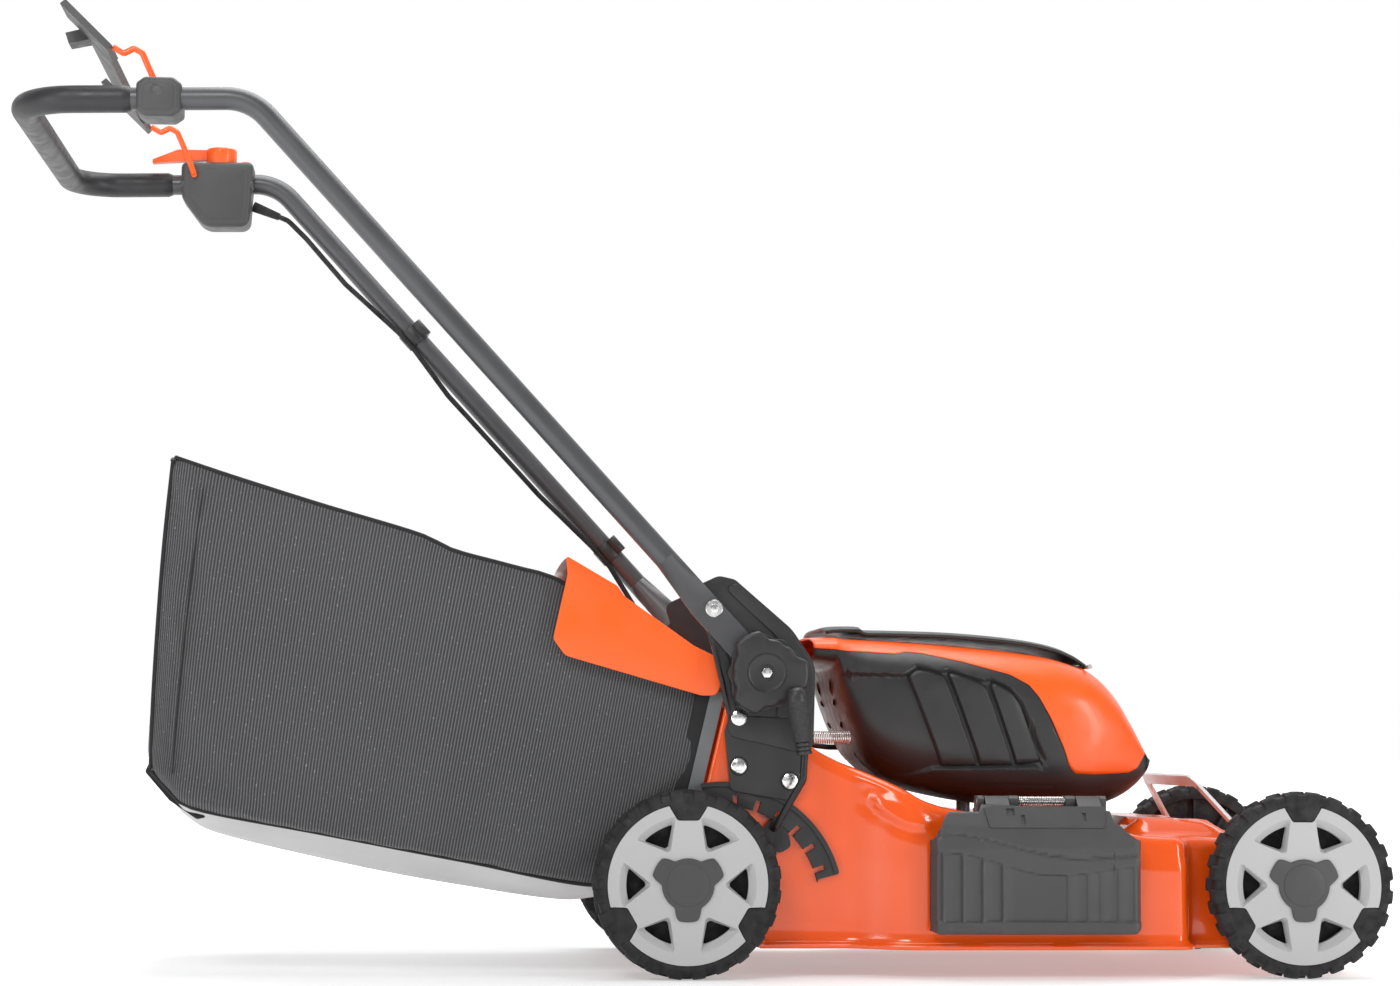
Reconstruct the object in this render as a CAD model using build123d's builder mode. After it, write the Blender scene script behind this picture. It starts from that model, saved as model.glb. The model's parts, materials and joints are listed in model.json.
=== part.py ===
"""Battery walk-behind lawn mower with a rear grass bag, as separate pieces (millimetres, +Z up, +X forward).

The origin is on the ground under the middle of the whole mower. The operator's right is -Y.
Side outlines are given as (distance ahead of the rear axle, height above the ground).
"""

import os
from math import cos, radians, sin

from build123d import *

os.makedirs("parts", exist_ok=True)

# ---------------------------------------------------------------- driving dimensions
rear_x = -16.75  # rear axle, so that the origin is under the middle of the mower
wheelbase = 679.0
wheel_radius = 102.5
wheel_inner = 220.0  # distance of the wheels' inner faces from the centre plane
wheel_outer = 261.0
axle_height = wheel_radius
crank_pivot = (41.4, 78.5)  # height-adjuster pivot, behind each axle's arm
crank_inner = 210.5
crank_outer = 215.5
stub_radius = 6.0
running_gap = 0.05

deck_wall = 2.5
deck_waist = 203.0  # half width between the wheels
deck_half = 236.0  # half width over the cutting chamber
blade_centre = 345.0

hood_half = 164.0
hood_wall = 3.0

handle_pivot = (86.9, 332.3)
handle_y = 255.0
tube_radius = 12.5
tube_wall = 1.5
foam_radius = 15.0
tongue_inner = 214.0
tongue_outer = 220.0
tube_corner = (-483.2, 953.8)
crossbar = (-733.0, 947.0)
bail_pivot = (-583.5, 957.6)

bag_half = 200.0
flap_hinge = (42.0, 340.0)

front_view = Plane(origin=(rear_x, 0, 0), x_dir=(0, 1, 0), z_dir=(1, 0, 0))


def finish_piece(piece, name):
    """Label a finished piece and write its own file."""
    piece.part.label = name
    export_step(piece.part, f"parts/{name}.step")


def side(y):
    """The upright fore-and-aft plane at y; sketches in it use the side outlines' own numbers."""
    return Plane(origin=(rear_x, y, 0), x_dir=(1, 0, 0), z_dir=(0, -1, 0))


def plan(z):
    """The level plane at height z, measured forward from the rear axle."""
    return Plane(origin=(rear_x, 0, z), x_dir=(1, 0, 0), z_dir=(0, 0, 1))


def slab(outline, y_high, y_low, corner=0.0, grow=0.0):
    """A plate with a side outline, lying between two distances from the centre plane."""
    with BuildPart() as plate:
        with BuildSketch(side(y_high)) as face:
            with BuildLine():
                Polyline(*outline, close=True)
            make_face()
            if corner:
                fillet(face.vertices(), corner)
            if grow:
                offset(amount=grow, kind=Kind.INTERSECTION)
        extrude(amount=y_high - y_low)
    return plate.part


def disc(centre, radius, y_high, y_low, hole=0.0):
    """A round piece along the mower's width, with an optional hole."""
    with BuildPart() as round_piece:
        with BuildSketch(side(y_high)):
            with Locations(centre):
                Circle(radius)
                if hole:
                    Circle(hole, mode=Mode.SUBTRACT)
        extrude(amount=y_high - y_low)
    return round_piece.part


def arm(start, end, width, y_high, y_low):
    """A flat link with round ends between two points of the side view."""
    with BuildPart() as link:
        with BuildSketch(side(y_high)):
            with BuildLine():
                Line(start, end)
            trace(line_width=width)
            with Locations(start, end):
                Circle(width / 2)
        extrude(amount=y_high - y_low)
    return link.part


def box_between(x_range, y_range, z_range):
    """A block between two corners, x measured from the rear axle."""
    with BuildPart() as block:
        with BuildSketch(plan(z_range[0])):
            with Locations(((x_range[0] + x_range[1]) / 2, (y_range[0] + y_range[1]) / 2)):
                Rectangle(x_range[1] - x_range[0], y_range[1] - y_range[0])
        extrude(amount=z_range[1] - z_range[0])
    return block.part


def bar(outline, x_low, x_high, corner=0.0):
    """A length of the section drawn across the mower, between two places fore and aft."""
    with BuildPart() as length:
        with BuildSketch(front_view.offset(x_low)) as section:
            with BuildLine():
                Polyline(*outline, close=True)
            make_face()
            if corner:
                fillet(section.vertices(), corner)
        extrude(amount=x_high - x_low)
    return length.part


def rod(centre, radius, x_low, x_high):
    """A round bar running fore and aft."""
    with BuildPart() as round_bar:
        with BuildSketch(front_view.offset(x_low)):
            with Locations(centre):
                Circle(radius)
        extrude(amount=x_high - x_low)
    return round_bar.part


def both_sides(piece):
    """A right-hand piece together with its left-hand twin."""
    return [piece, piece.mirror(Plane.XZ)]


# ---------------------------------------------------------------- wheels
rim_radius = 87.0
lug_angles = (90, 210, 330)


def lugs(grow):
    """The three tabs of the black wheel that show through notches in the pale cover."""
    with BuildSketch(side(-wheel_inner)) as tabs:
        with PolarLocations(rim_radius - 8.5, 3, start_angle=lug_angles[0]):
            Rectangle(19 + 2 * grow, 34 + 2 * grow)
        fillet(tabs.vertices(), 5)
    return tabs.sketch


with BuildPart() as wheel_body:
    with BuildSketch(side(-wheel_inner)):
        Circle(wheel_radius - 3.5)
        Circle(rim_radius, mode=Mode.SUBTRACT)
    extrude(amount=wheel_outer - wheel_inner)
    for shift, start in ((0, 0), (21, 7.5)):
        with BuildSketch(side(-wheel_inner - shift)):
            with PolarLocations(wheel_radius - 5, 24, start_angle=start):
                Rectangle(10, 13)
        extrude(amount=(wheel_outer - wheel_inner) / 2 - 0.5)
    with BuildSketch(side(-wheel_inner - 12)):
        Circle(rim_radius + 1)
    extrude(amount=5)
    with BuildSketch(side(-wheel_inner - 1)):
        Circle(14)
    extrude(amount=37)
    with BuildSketch(side(-wheel_inner - 15)):
        add(lugs(0))
        Circle(rim_radius + 1, mode=Mode.INTERSECT)
    extrude(amount=wheel_outer - wheel_inner - 15)
    with BuildSketch(side(-wheel_inner)):
        Circle(stub_radius + running_gap)
    extrude(amount=wheel_outer - wheel_inner, mode=Mode.SUBTRACT)

with BuildPart() as wheel_cover:
    with BuildSketch(side(-244)) as cover_face:
        Circle(rim_radius)
        Circle(14, mode=Mode.SUBTRACT)
        add(lugs(0.3), mode=Mode.SUBTRACT)
        for window in range(6):
            with PolarLocations(0, 1, start_angle=60 * window):
                with Locations((56, 0)):
                    Trapezoid(34, 26, 68, rotation=90, mode=Mode.SUBTRACT)
    extrude(amount=15)
    face_edges = wheel_cover.faces().sort_by(Axis.Y)[0].outer_wire().edges()
    chamfer(face_edges.filter_by(lambda e: e.length > 60), 1.5)

with BuildPart() as hub_cap:
    with BuildSketch(side(-259)) as cap_face:
        Circle(31)
        with PolarLocations(33, 3, start_angle=30):
            Circle(8.5)
    extrude(amount=4)
    chamfer(hub_cap.faces().sort_by(Axis.Y)[0].edges(), 1)

for end, advance in (("rear", 0.0), ("front", wheelbase)):
    place = Location((advance, 0, axle_height))
    for hand in ("right", "left"):
        for piece, kind in ((wheel_body, "tyre"), (wheel_cover, "rim"), (hub_cap, "hub_cap")):
            one = piece.part if hand == "right" else piece.part.mirror(Plane.XZ)
            with BuildPart() as wheel_piece:
                add(one.moved(place))
            finish_piece(wheel_piece, f"{end}_{hand}_{kind}")

# ---------------------------------------------------------------- height-adjuster cranks
link_arm = 40.0
link_pin_radius = 4.0
for end, advance in (("rear", 0.0), ("front", wheelbase)):
    pivot = (crank_pivot[0] + advance, crank_pivot[1])
    axle = (advance, axle_height)
    link_pin = (pivot[0], pivot[1] + link_arm)
    with BuildPart() as crank:
        add(disc(pivot, 8, crank_inner, -crank_inner))
        for piece in both_sides(arm(pivot, axle, 24, -crank_inner, -crank_outer)):
            add(piece)
        for piece in both_sides(disc(axle, stub_radius, -crank_outer, -256)):
            add(piece)
        add(arm(pivot, link_pin, 16, crank_outer, crank_inner))
        add(disc(link_pin, link_pin_radius, crank_inner, 204.4))
        if end == "rear":
            add(arm(pivot, (97, 162.5), 18, -crank_inner, -crank_outer))
    finish_piece(crank, f"{end}_axle_crank")

with BuildPart() as link_rod:
    rear_pin = (crank_pivot[0], crank_pivot[1] + link_arm)
    front_pin = (rear_pin[0] + wheelbase, rear_pin[1])
    add(arm(rear_pin, front_pin, 13, 209.5, 205.5))
    add(disc(rear_pin, link_pin_radius + running_gap, 215, 200), mode=Mode.SUBTRACT)
    add(disc(front_pin, link_pin_radius + 0.4, 215, 200), mode=Mode.SUBTRACT)
finish_piece(link_rod, "height_link_rod")

grip_y = -256.0
with BuildPart() as lever_rod:
    with BuildLine() as rod_route:
        FilletPolyline(
            (rear_x + 97, -crank_outer, 162.5),
            (rear_x + 97, -230, 162.5),
            (rear_x + 125, grip_y, 216),
            (rear_x + 126.5, grip_y, 243),
            (rear_x + 118, grip_y, 308),
            radius=6,
        )
    with BuildSketch(Plane(origin=rod_route.line @ 0, z_dir=rod_route.line % 0)):
        Circle(4)
    sweep()
finish_piece(lever_rod, "height_lever_rod")

with BuildPart() as lever_grip:
    grip_base = Vector(rear_x + 126.5, grip_y, 243)
    grip_axis = (Vector(rear_x + 118, grip_y, 308) - grip_base).normalized()
    grip_plane = Plane(origin=grip_base, x_dir=(0, 1, 0), z_dir=grip_axis)
    with BuildSketch(grip_plane):
        Circle(8.5)
    with BuildSketch(grip_plane.offset(14)):
        Circle(9)
    with BuildSketch(grip_plane.offset(48)):
        Circle(11.5)
    with BuildSketch(grip_plane.offset(74)):
        Circle(9)
    loft()
    fillet(lever_grip.edges().sort_by(Axis.Z)[-1], 4)
    with BuildSketch(grip_plane.offset(-1)):
        Circle(4.05)
    extrude(amount=67, mode=Mode.SUBTRACT)
finish_piece(lever_grip, "height_lever_grip")

# ---------------------------------------------------------------- deck
deck_floor = 33.0
mouth_top = (47.0, 312.0)
mouth_bottom = (-1.2, 105.0)
deck_side = [
    mouth_bottom, (2, 60), (64, 60), (80, deck_floor), (738, deck_floor), (745, 42), (745, 118),
    (700, 140), (600, 151), (507, 153), (457, 171), (345, 178), (275, 187), (205, 221),
    (140, 250), (85, 308), mouth_top,
]
chamber_side = [
    (-40, 110), (100, 93), (100, 10), (742.5, 10), (742.5, 116.5), (699, 137.6), (600, 148.5),
    (506, 150.5), (456, 168.5), (345, 175.5), (274, 184.5), (204, 218.5), (138.5, 247.5),
    (84, 305.5), (-40, 309.5),
]
under_tunnel = [(-40, 107), (97, 90), (97, 10), (-40, 10)]


def deck_plan(grow, z_low, z_high):
    """The deck's outline from above: waisted between the wheels, full width over the blade."""
    half = [(-60, deck_waist), (195, deck_waist), (250, deck_half), (556, deck_half), (556, deck_waist),
            (745, deck_waist)]
    with BuildPart() as body:
        with BuildSketch(plan(z_low)) as outline:
            with BuildLine():
                Polyline(*half, *[(x, -y) for x, y in reversed(half)], close=True)
            make_face()
            corners = outline.vertices()
            fillet(corners.filter_by(lambda v: v.X < rear_x + 300 and v.X > rear_x), 60)
            fillet(outline.vertices().filter_by(lambda v: v.X > rear_x + 740), 55)
            fillet(outline.vertices().filter_by(lambda v: abs(v.Y) > 235 and v.X > rear_x + 550), 14)
            offset(amount=grow, kind=Kind.INTERSECTION)
        extrude(amount=z_high - z_low)
    return body.part


with BuildPart() as shaft_clearance:
    with BuildSketch(plan(150)):
        with Locations((blade_centre, 0)):
            Circle(20)
    extrude(amount=60)

bracket_bolts = [(58.8, 283), (59, 230.2), (115.7, 214)]
cover_window = ((300.0, 470.0), (-260.0, -220.0), (62.0, 150.0))
link_slot_heights = (102.0, 128.0)

with BuildPart() as deck:
    add(deck_plan(0, 30, 330))
    add(slab(deck_side, 250, -250), mode=Mode.INTERSECT)
    chamber = deck_plan(-deck_wall, 5, 330) & slab(chamber_side, 250, -250)
    add(chamber, mode=Mode.SUBTRACT)
    cave = deck_plan(-deck_wall, 5, 330) & slab(under_tunnel, 250, -250)
    add(cave, mode=Mode.SUBTRACT)
    flange = deck_plan(6, 31, 35) - deck_plan(-deck_wall, 20, 40)
    add(flange - box_between((-100, 80), (-300, 300), (0, 60)))
    for pivot_x in (crank_pivot[0], crank_pivot[0] + wheelbase):
        add(disc((pivot_x, crank_pivot[1]), 8 + running_gap, 206, -206), mode=Mode.SUBTRACT)
    add(box_between(*cover_window), mode=Mode.SUBTRACT)
    for slot in ((172, 222), (545, 590)):
        add(box_between(slot, (203.6, 212), link_slot_heights), mode=Mode.SUBTRACT)
    for bolt in bracket_bolts:
        add(disc(bolt, 3.1, 206, -206), mode=Mode.SUBTRACT)
    add(shaft_clearance.part, mode=Mode.SUBTRACT)
finish_piece(deck, "deck")

# ---------------------------------------------------------------- height quadrant
quadrant_outer = 134.6
quadrant_inner = 108.0
with BuildPart() as quadrant:
    with BuildSketch(side(-deck_waist)):
        with Locations(crank_pivot):
            Circle(quadrant_outer)
            Circle(quadrant_inner, mode=Mode.SUBTRACT)
        with BuildLine():
            reach = [(200 * cos(radians(turn)), 200 * sin(radians(turn))) for turn in (100, 55, 11)]
            Polyline(crank_pivot, *[(crank_pivot[0] + x, crank_pivot[1] + z) for x, z in reach], close=True)
        make_face(mode=Mode.INTERSECT)
    extrude(amount=6)
    for notch in range(6):
        angle = radians(83.3 - 12.86 * notch)
        centre = (crank_pivot[0] + 110 * cos(angle), crank_pivot[1] + 110 * sin(angle))
        add(disc(centre, 3.5, -deck_waist - 3, -deck_waist - 7), mode=Mode.SUBTRACT)
    add(arm((100, 168), (107.8, 144.1), 16, -deck_waist, -deck_waist - 3))
finish_piece(quadrant, "height_quadrant")

# ---------------------------------------------------------------- handle brackets
bracket_inner = 209.0
bracket_outer = 213.0
bracket_outline = [
    (6, 426), (18, 391), (40.5, 325), (47, 281), (43, 268), (50, 203), (118, 192), (130, 206),
    (135, 243), (141, 256), (144, 342), (118, 381), (54, 436), (38, 433),
]
for hand in ("right", "left"):
    with BuildPart() as bracket:
        add(slab(bracket_outline, -bracket_inner, -bracket_outer, corner=3))
        add(slab([(45, 285), (27, 362), (31, 364), (49.5, 286)], -bracket_outer, -220.4))
        for bolt in bracket_bolts:
            add(disc(bolt, 9, -deck_waist, -bracket_inner))
        for bolt in bracket_bolts:
            add(disc(bolt, 3.1, -200, -220), mode=Mode.SUBTRACT)
        add(disc(handle_pivot, 4.05, -200, -220), mode=Mode.SUBTRACT)
        add(disc(flap_hinge, 3.05, -200, -211), mode=Mode.SUBTRACT)
        if hand == "left":
            mirror(about=Plane.XZ, mode=Mode.REPLACE)
    finish_piece(bracket, f"handle_bracket_{hand}")

with BuildPart() as bracket_bolt_set:
    for bolt in bracket_bolts:
        for piece in both_sides(disc(bolt, 3.0, -200.5, -213) + disc(bolt, 7, -213, -217)):
            add(piece)
finish_piece(bracket_bolt_set, "bracket_bolts")

with BuildPart() as pivot_bolt_set:
    for piece in both_sides(disc(handle_pivot, 4.0, -203.5, -236) + disc(handle_pivot, 9, -203.2, -208.8)):
        add(piece)
finish_piece(pivot_bolt_set, "pivot_bolts")

# ---------------------------------------------------------------- star knobs
knob_inner = 221.0
knob_outer = 243.0
with BuildPart() as star_knob:
    with BuildSketch(side(-knob_inner)) as knob_face:
        with Locations(handle_pivot):
            Circle(38)
            with PolarLocations(36, 3, start_angle=-3):
                Circle(13)
        fillet(knob_face.vertices(), 6)
    extrude(amount=knob_outer - knob_inner)
    chamfer(star_knob.faces().sort_by(Axis.Y)[0].edges(), 2)
    add(disc(handle_pivot, 18, -knob_outer + 3, -knob_outer - 1), mode=Mode.SUBTRACT)
    add(disc(handle_pivot, 4.05, -knob_inner + 1, -236.2), mode=Mode.SUBTRACT)
for hand in ("right", "left"):
    one = star_knob.part if hand == "right" else star_knob.part.mirror(Plane.XZ)
    with BuildPart() as knob_piece:
        add(one)
    finish_piece(knob_piece, f"star_knob_{hand}")

# ---------------------------------------------------------------- motor housing, covers and what they hold
hood_side = [
    (150, 345), (150, 377), (211, 379), (302, 375), (416, 364), (473, 347), (508, 308), (536, 256),
    (542, 238), (534, 213), (510, 193), (453, 181.5), (345, 187), (262, 207), (214, 236), (186, 304),
    (177, 343),
]
cover_line = [
    (100, 363), (198, 360), (243, 357.5), (256, 360), (274, 358.5), (320, 349), (373, 335), (399, 319),
    (419, 283), (434, 249), (443, 221), (600, 223), (600, 450), (100, 450),
]
louvre_outline = [
    (253, 333), (268, 342), (297, 336), (303, 339), (341, 325), (352, 327), (373, 317), (388, 294),
    (410, 240), (404, 228), (290, 228),
]


def hood_plan(grow, z_low, z_high):
    """The motor housing's outline from above, narrower at the nose."""
    half = [(140, 138), (240, hood_half), (420, hood_half - 4), (520, 130), (560, 70)]
    with BuildPart() as body:
        with BuildSketch(plan(z_low)) as outline:
            with BuildLine():
                Polyline(*half, *[(x, -y) for x, y in reversed(half)], close=True)
            make_face()
            fillet(outline.vertices().filter_by(lambda v: v.X > rear_x + 150), 25)
            offset(amount=grow, kind=Kind.INTERSECTION)
        extrude(amount=z_high - z_low)
    return body.part


def hood_section(grow):
    """The motor housing seen from the front, with rounded shoulders."""
    with BuildPart() as body:
        with BuildSketch(front_view) as outline:
            with BuildLine():
                Polyline((-hood_half, 170), (hood_half, 170), (hood_half, 330), (hood_half - 26, 377),
                         (60, 386), (-60, 386), (26 - hood_half, 377), (-hood_half, 330), close=True)
            make_face()
            fillet(outline.vertices().filter_by(lambda v: v.Z > 320 and abs(v.Y) > 100), 25)
            offset(amount=grow, kind=Kind.INTERSECTION)
        extrude(amount=700)
    return body.part


def hood_body(grow):
    """The motor housing as a solid, shrunk by a wall thickness when grow is negative."""
    return hood_plan(grow, 100, 500) & slab(hood_side, 250, -250, grow=grow) & hood_section(grow)


hood_shell = hood_body(0) - hood_body(-hood_wall)
cover_region = slab(cover_line, 250, -250)
lid_hinge = (474.0, 345.0)
lid_window = box_between((176, 484), (-106, 106), (336, 420))
with BuildPart() as motor_base:
    add(hood_shell)
    add(cover_region, mode=Mode.SUBTRACT)
    add(slab(louvre_outline, 250, -250), mode=Mode.SUBTRACT)
    add(shaft_clearance.part, mode=Mode.SUBTRACT)
    add(lid_window, mode=Mode.SUBTRACT)
    for foot in (300, 400):
        with BuildSketch(plan(178.5)):
            with GridLocations(0, 180, 1, 2):
                with Locations((foot, 0)):
                    Rectangle(24, 16)
        extrude(amount=21)
    with BuildSketch(Plane(origin=(rear_x + 190, 110.5, 251), z_dir=(1, 0, 0))):
        Circle(6)
    extrude(amount=35, mode=Mode.SUBTRACT)
    add(deck_plan(0, 30, 330) & slab(deck_side, 250, -250, grow=0.2), mode=Mode.SUBTRACT)
finish_piece(motor_base, "motor_base")

with BuildPart() as top_cover:
    add(hood_shell & cover_region)
    add(lid_window, mode=Mode.SUBTRACT)
    add(disc(lid_hinge, 2.52, 115, -115), mode=Mode.SUBTRACT)
finish_piece(top_cover, "top_cover")

with BuildPart() as louvre_panels:
    add((hood_body(-hood_wall) - hood_body(-2 * hood_wall)) & slab(louvre_outline, 250, -250, grow=4)
        & (box_between((0, 600), (100, 250), (0, 500)) + box_between((0, 600), (-250, -100), (0, 500))))
    for slot_top, slot_foot in (((262, 330), (290, 238)), ((303, 328), (332, 238)), ((346, 316), (371, 238))):
        add(arm(slot_top, slot_foot, 5, 250, -250), mode=Mode.SUBTRACT)
finish_piece(louvre_panels, "louvre_panels")

lid_top = [(168, 389), (207, 391), (214, 386), (311, 385), (404, 377), (451, 366), (481, 349)]
with BuildPart() as battery_lid:
    lid_under = [(x, z - 4) for x, z in reversed(lid_top)]
    add(slab(lid_top + lid_under, 110, -110))
    for edge in ((103, 115), (-115, -103)):
        add(box_between((462, 490), edge, (330, 370)), mode=Mode.SUBTRACT)
    add(disc(lid_hinge, 6, 100, -100))
    add(box_between((466, 490), (-60, 60), (330, 352)), mode=Mode.SUBTRACT)
    add(disc(lid_hinge, 2.55, 120, -120), mode=Mode.SUBTRACT)
    add(hood_body(0.4) - lid_window, mode=Mode.SUBTRACT)
finish_piece(battery_lid, "battery_lid")

battery_x = (224.0, 342.0)
battery_half = 45.0
battery_z = (258.0, 366.0)
with BuildPart() as battery_bay:
    add(box_between((battery_x[0] - 4, battery_x[1] + 4), (-battery_half - 4, battery_half + 4), (250, 352)))
    add(box_between((battery_x[0] - 1, battery_x[1] + 1), (-battery_half - 1, battery_half + 1), (253, 400)),
        mode=Mode.SUBTRACT)
finish_piece(battery_bay, "battery_bay")

with BuildPart() as battery:
    add(box_between(battery_x, (-battery_half, battery_half), battery_z))
    fillet(battery.edges().filter_by(Axis.Z), 8)
    add(box_between((battery_x[0] + 30, battery_x[1] - 30), (-14, 14), (360, 370)), mode=Mode.SUBTRACT)
    add(box_between((battery_x[0] + 30, battery_x[1] - 30), (-4, 4), (358, 366)))
finish_piece(battery, "battery")

with BuildPart() as motor_stator:
    with BuildSketch(plan(204.6)):
        with Locations((blade_centre, 0)):
            Circle(58)
            Circle(15, mode=Mode.SUBTRACT)
    extrude(amount=4)
    with BuildSketch(plan(208)):
        with Locations((blade_centre, 0)):
            Circle(58)
            Circle(55, mode=Mode.SUBTRACT)
    extrude(amount=38)
finish_piece(motor_stator, "motor_stator")

with BuildPart() as motor_rotor:
    for z_low, z_high, radius in ((74, 244, 8), (212, 242, 52), (74, 80, 24)):
        with BuildSketch(plan(z_low)):
            with Locations((blade_centre, 0)):
                Circle(radius)
        extrude(amount=z_high - z_low)
finish_piece(motor_rotor, "motor_rotor")

blade_length = 400.0
with BuildPart() as blade:
    with BuildSketch(plan(70)):
        with Locations((blade_centre, 0)):
            Rectangle(blade_length, 48)
    extrude(amount=4)
    fillet(blade.edges().filter_by(Axis.Z), 8)
    for turn in (0, 180):
        with BuildSketch(Plane(Location((rear_x + blade_centre, 0, 74), (0, 0, turn)))):
            with Locations((blade_length / 2 - 38, 18)):
                Rectangle(60, 10)
        extrude(amount=9)
finish_piece(blade, "blade")

with BuildPart() as blade_bolt:
    with BuildSketch(plan(56)):
        with Locations((blade_centre, 0)):
            RegularPolygon(11, 6)
    extrude(amount=10)
    with BuildSketch(plan(66)):
        with Locations((blade_centre, 0)):
            Circle(20)
    extrude(amount=4)
finish_piece(blade_bolt, "blade_bolt")

with BuildPart() as controller_board:
    add(box_between((420, 490), (-55, 55), (238, 241)))
    add(box_between((435, 455), (-40, 40), (241, 252)))
finish_piece(controller_board, "controller_board")

with BuildPart() as assist_spring:
    with BuildSketch(Plane(origin=(rear_x + 140, -150, 262), z_dir=(1, 0, 0))):
        Circle(7.5)
        Circle(5.5, mode=Mode.SUBTRACT)
    extrude(amount=52)
finish_piece(assist_spring, "assist_spring")

# ---------------------------------------------------------------- lifting hoop
hoop_top = Plane(origin=(rear_x + 590, 0, 214), x_dir=(0, 1, 0), z_dir=(-0.806, 0, -0.592))
with BuildPart() as lift_hoop:
    with BuildSketch(hoop_top) as hoop_face:
        with BuildLine() as hoop_line:
            FilletPolyline((-166, 70), (-118, 0), (118, 0), (166, 70), radius=28)
        trace(line_width=15)
    extrude(amount=-4)
finish_piece(lift_hoop, "lift_hoop")

# ---------------------------------------------------------------- side discharge cover
cover_hinge = (-222.0, 193.0)  # across, up
cover_x = (266.0, 500.0)
with BuildPart() as side_cover:
    add(bar([(-262, 49), (-262, 143), (-257, 166), (-254, 165), (-259, 142), (-259, 49)], *cover_x))
    add(bar([(-257, 166), (-243, 187), (-233, 193.5), (-232, 190.5), (-241, 184.5), (-254, 165)], 322, 466))
    cheek = [(-262, 49), (-262, 143), (-257, 166), (-249, 166), (-244, 150), (-244, 49)]
    add(bar(cheek, cover_x[0], cover_x[0] + 3))
    add(bar(cheek, cover_x[1] - 3, cover_x[1]))
    for knuckle in ((330, 356), (432, 458)):
        add(rod(cover_hinge, 6, *knuckle))
        add(bar([(-233.5, 193.5), (-222, 199), (-222, 193), (-233, 190)], *knuckle))
    add(rod(cover_hinge, 3 + running_gap, *cover_x), mode=Mode.SUBTRACT)
finish_piece(side_cover, "side_cover")

with BuildPart() as cover_bracket:
    for ear in ((322, 329.5), (356.5, 368), (420, 431.5), (458.5, 466)):
        add(bar([(-227, 186), (-228, 196), (-223, 199), (-206, 199), (-198, 170), (-227, 170)], *ear))
    add(bar([(-212, 170), (-212, 185), (-196, 185), (-196, 170)], 322, 466))
    add(rod(cover_hinge, 3.02, 300, 500), mode=Mode.SUBTRACT)
    add(deck_plan(0, 30, 330) & slab(deck_side, 250, -250, grow=0.1), mode=Mode.SUBTRACT)
finish_piece(cover_bracket, "side_cover_bracket")

with BuildPart() as cover_spring:
    add(rod(cover_hinge, 6, 369, 419))
    add(rod(cover_hinge, 4.2, 360, 430), mode=Mode.SUBTRACT)
finish_piece(cover_spring, "side_cover_spring")

with BuildPart() as hinge_pins:
    add(rod(cover_hinge, 3.0, 322, 466))
    add(disc(flap_hinge, 3.0, bracket_inner, -bracket_inner))
    add(disc(lid_hinge, 2.5, 110, -110))
finish_piece(hinge_pins, "hinge_pins")

# ---------------------------------------------------------------- rear flap
flap_inner = 204.5
flap_outer = 207.5
wing = [(-134, 462), (-132, 441), (-147, 367), (-142, 356), (-133, 350), (19, 306), (31, 306), (46, 334),
        (42, 348), (9, 363), (-68, 417), (-75, 428)]
flap_sheet = [(42, 348), (9, 363), (-68, 417), (-75, 428), (-134, 462), (-134, 458.5), (-77, 425.5),
              (-70, 414.5), (8, 359.5), (42, 344.5)]
with BuildPart() as rear_flap:
    for piece in both_sides(slab(wing, -flap_inner, -flap_outer)):
        add(piece)
    add(slab(flap_sheet, flap_inner, -flap_inner))
    for knuckle in ((204.5, 150), (20, -20), (-150, -204.5)):
        add(disc(flap_hinge, 7.5, *knuckle))
    add(disc(flap_hinge, 3 + running_gap, 220, -220), mode=Mode.SUBTRACT)
finish_piece(rear_flap, "rear_flap")

# ---------------------------------------------------------------- grass bag
frame_front = [(44.5, 311.7), (-3.6, 105)]
frame_depth = 16.0
bag_side = [
    (28.2, 310), (-19.4, 105), (-103, 91), (-533, 171.5), (-545, 183), (-588, 220), (-573, 577), (-562, 577),
    (-294, 492), (-255, 474), (-134, 440), (-66, 385),
]
with BuildPart() as bag_fabric:
    add(slab(bag_side, bag_half, -bag_half))
    add(slab(bag_side, bag_half - 3, 3 - bag_half, grow=-3), mode=Mode.SUBTRACT)
    mouth = slab([(40, 298), (-2, 118), (-60, 118), (-40, 298)], bag_half - 12, 12 - bag_half)
    add(mouth, mode=Mode.SUBTRACT)
finish_piece(bag_fabric, "bag_fabric")

with BuildPart() as bag_frame:
    top, foot = frame_front
    add(slab([top, foot, (foot[0] - frame_depth + 0.4, foot[1]), (top[0] - frame_depth + 0.4, top[1])],
             bag_half, -bag_half))
    add(slab([(60, 300), (6, 117), (-60, 117), (-10, 300)], bag_half - 12, 12 - bag_half), mode=Mode.SUBTRACT)
    add(slab([(30, 311.7), (28.3, 310.2), (-66, 385.4), (-134, 440.4), (-255, 474.4), (-257, 478),
              (-133, 445), (-63, 390)], 40, -40))
finish_piece(bag_frame, "bag_frame")

with BuildPart() as bag_bottom:
    add(slab([(-533, 171.3), (-103, 90.8), (-103, 87.5), (-300, 121), (-450, 151), (-533, 168)],
             bag_half - 4, 4 - bag_half))
finish_piece(bag_bottom, "bag_bottom")

# ---------------------------------------------------------------- handle
along = Vector(tube_corner[0] - handle_pivot[0], 0, tube_corner[1] - handle_pivot[1]).normalized()
below = Vector(-along.Z, 0, along.X)  # square to the tube, on its lower rear side


def on_tube(distance, drop, y):
    """A point beside the straight tube: distance up from the pivot, drop below its centre line."""
    point = Vector(rear_x + handle_pivot[0], y, handle_pivot[1]) + along * distance
    return point + below * drop


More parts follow.
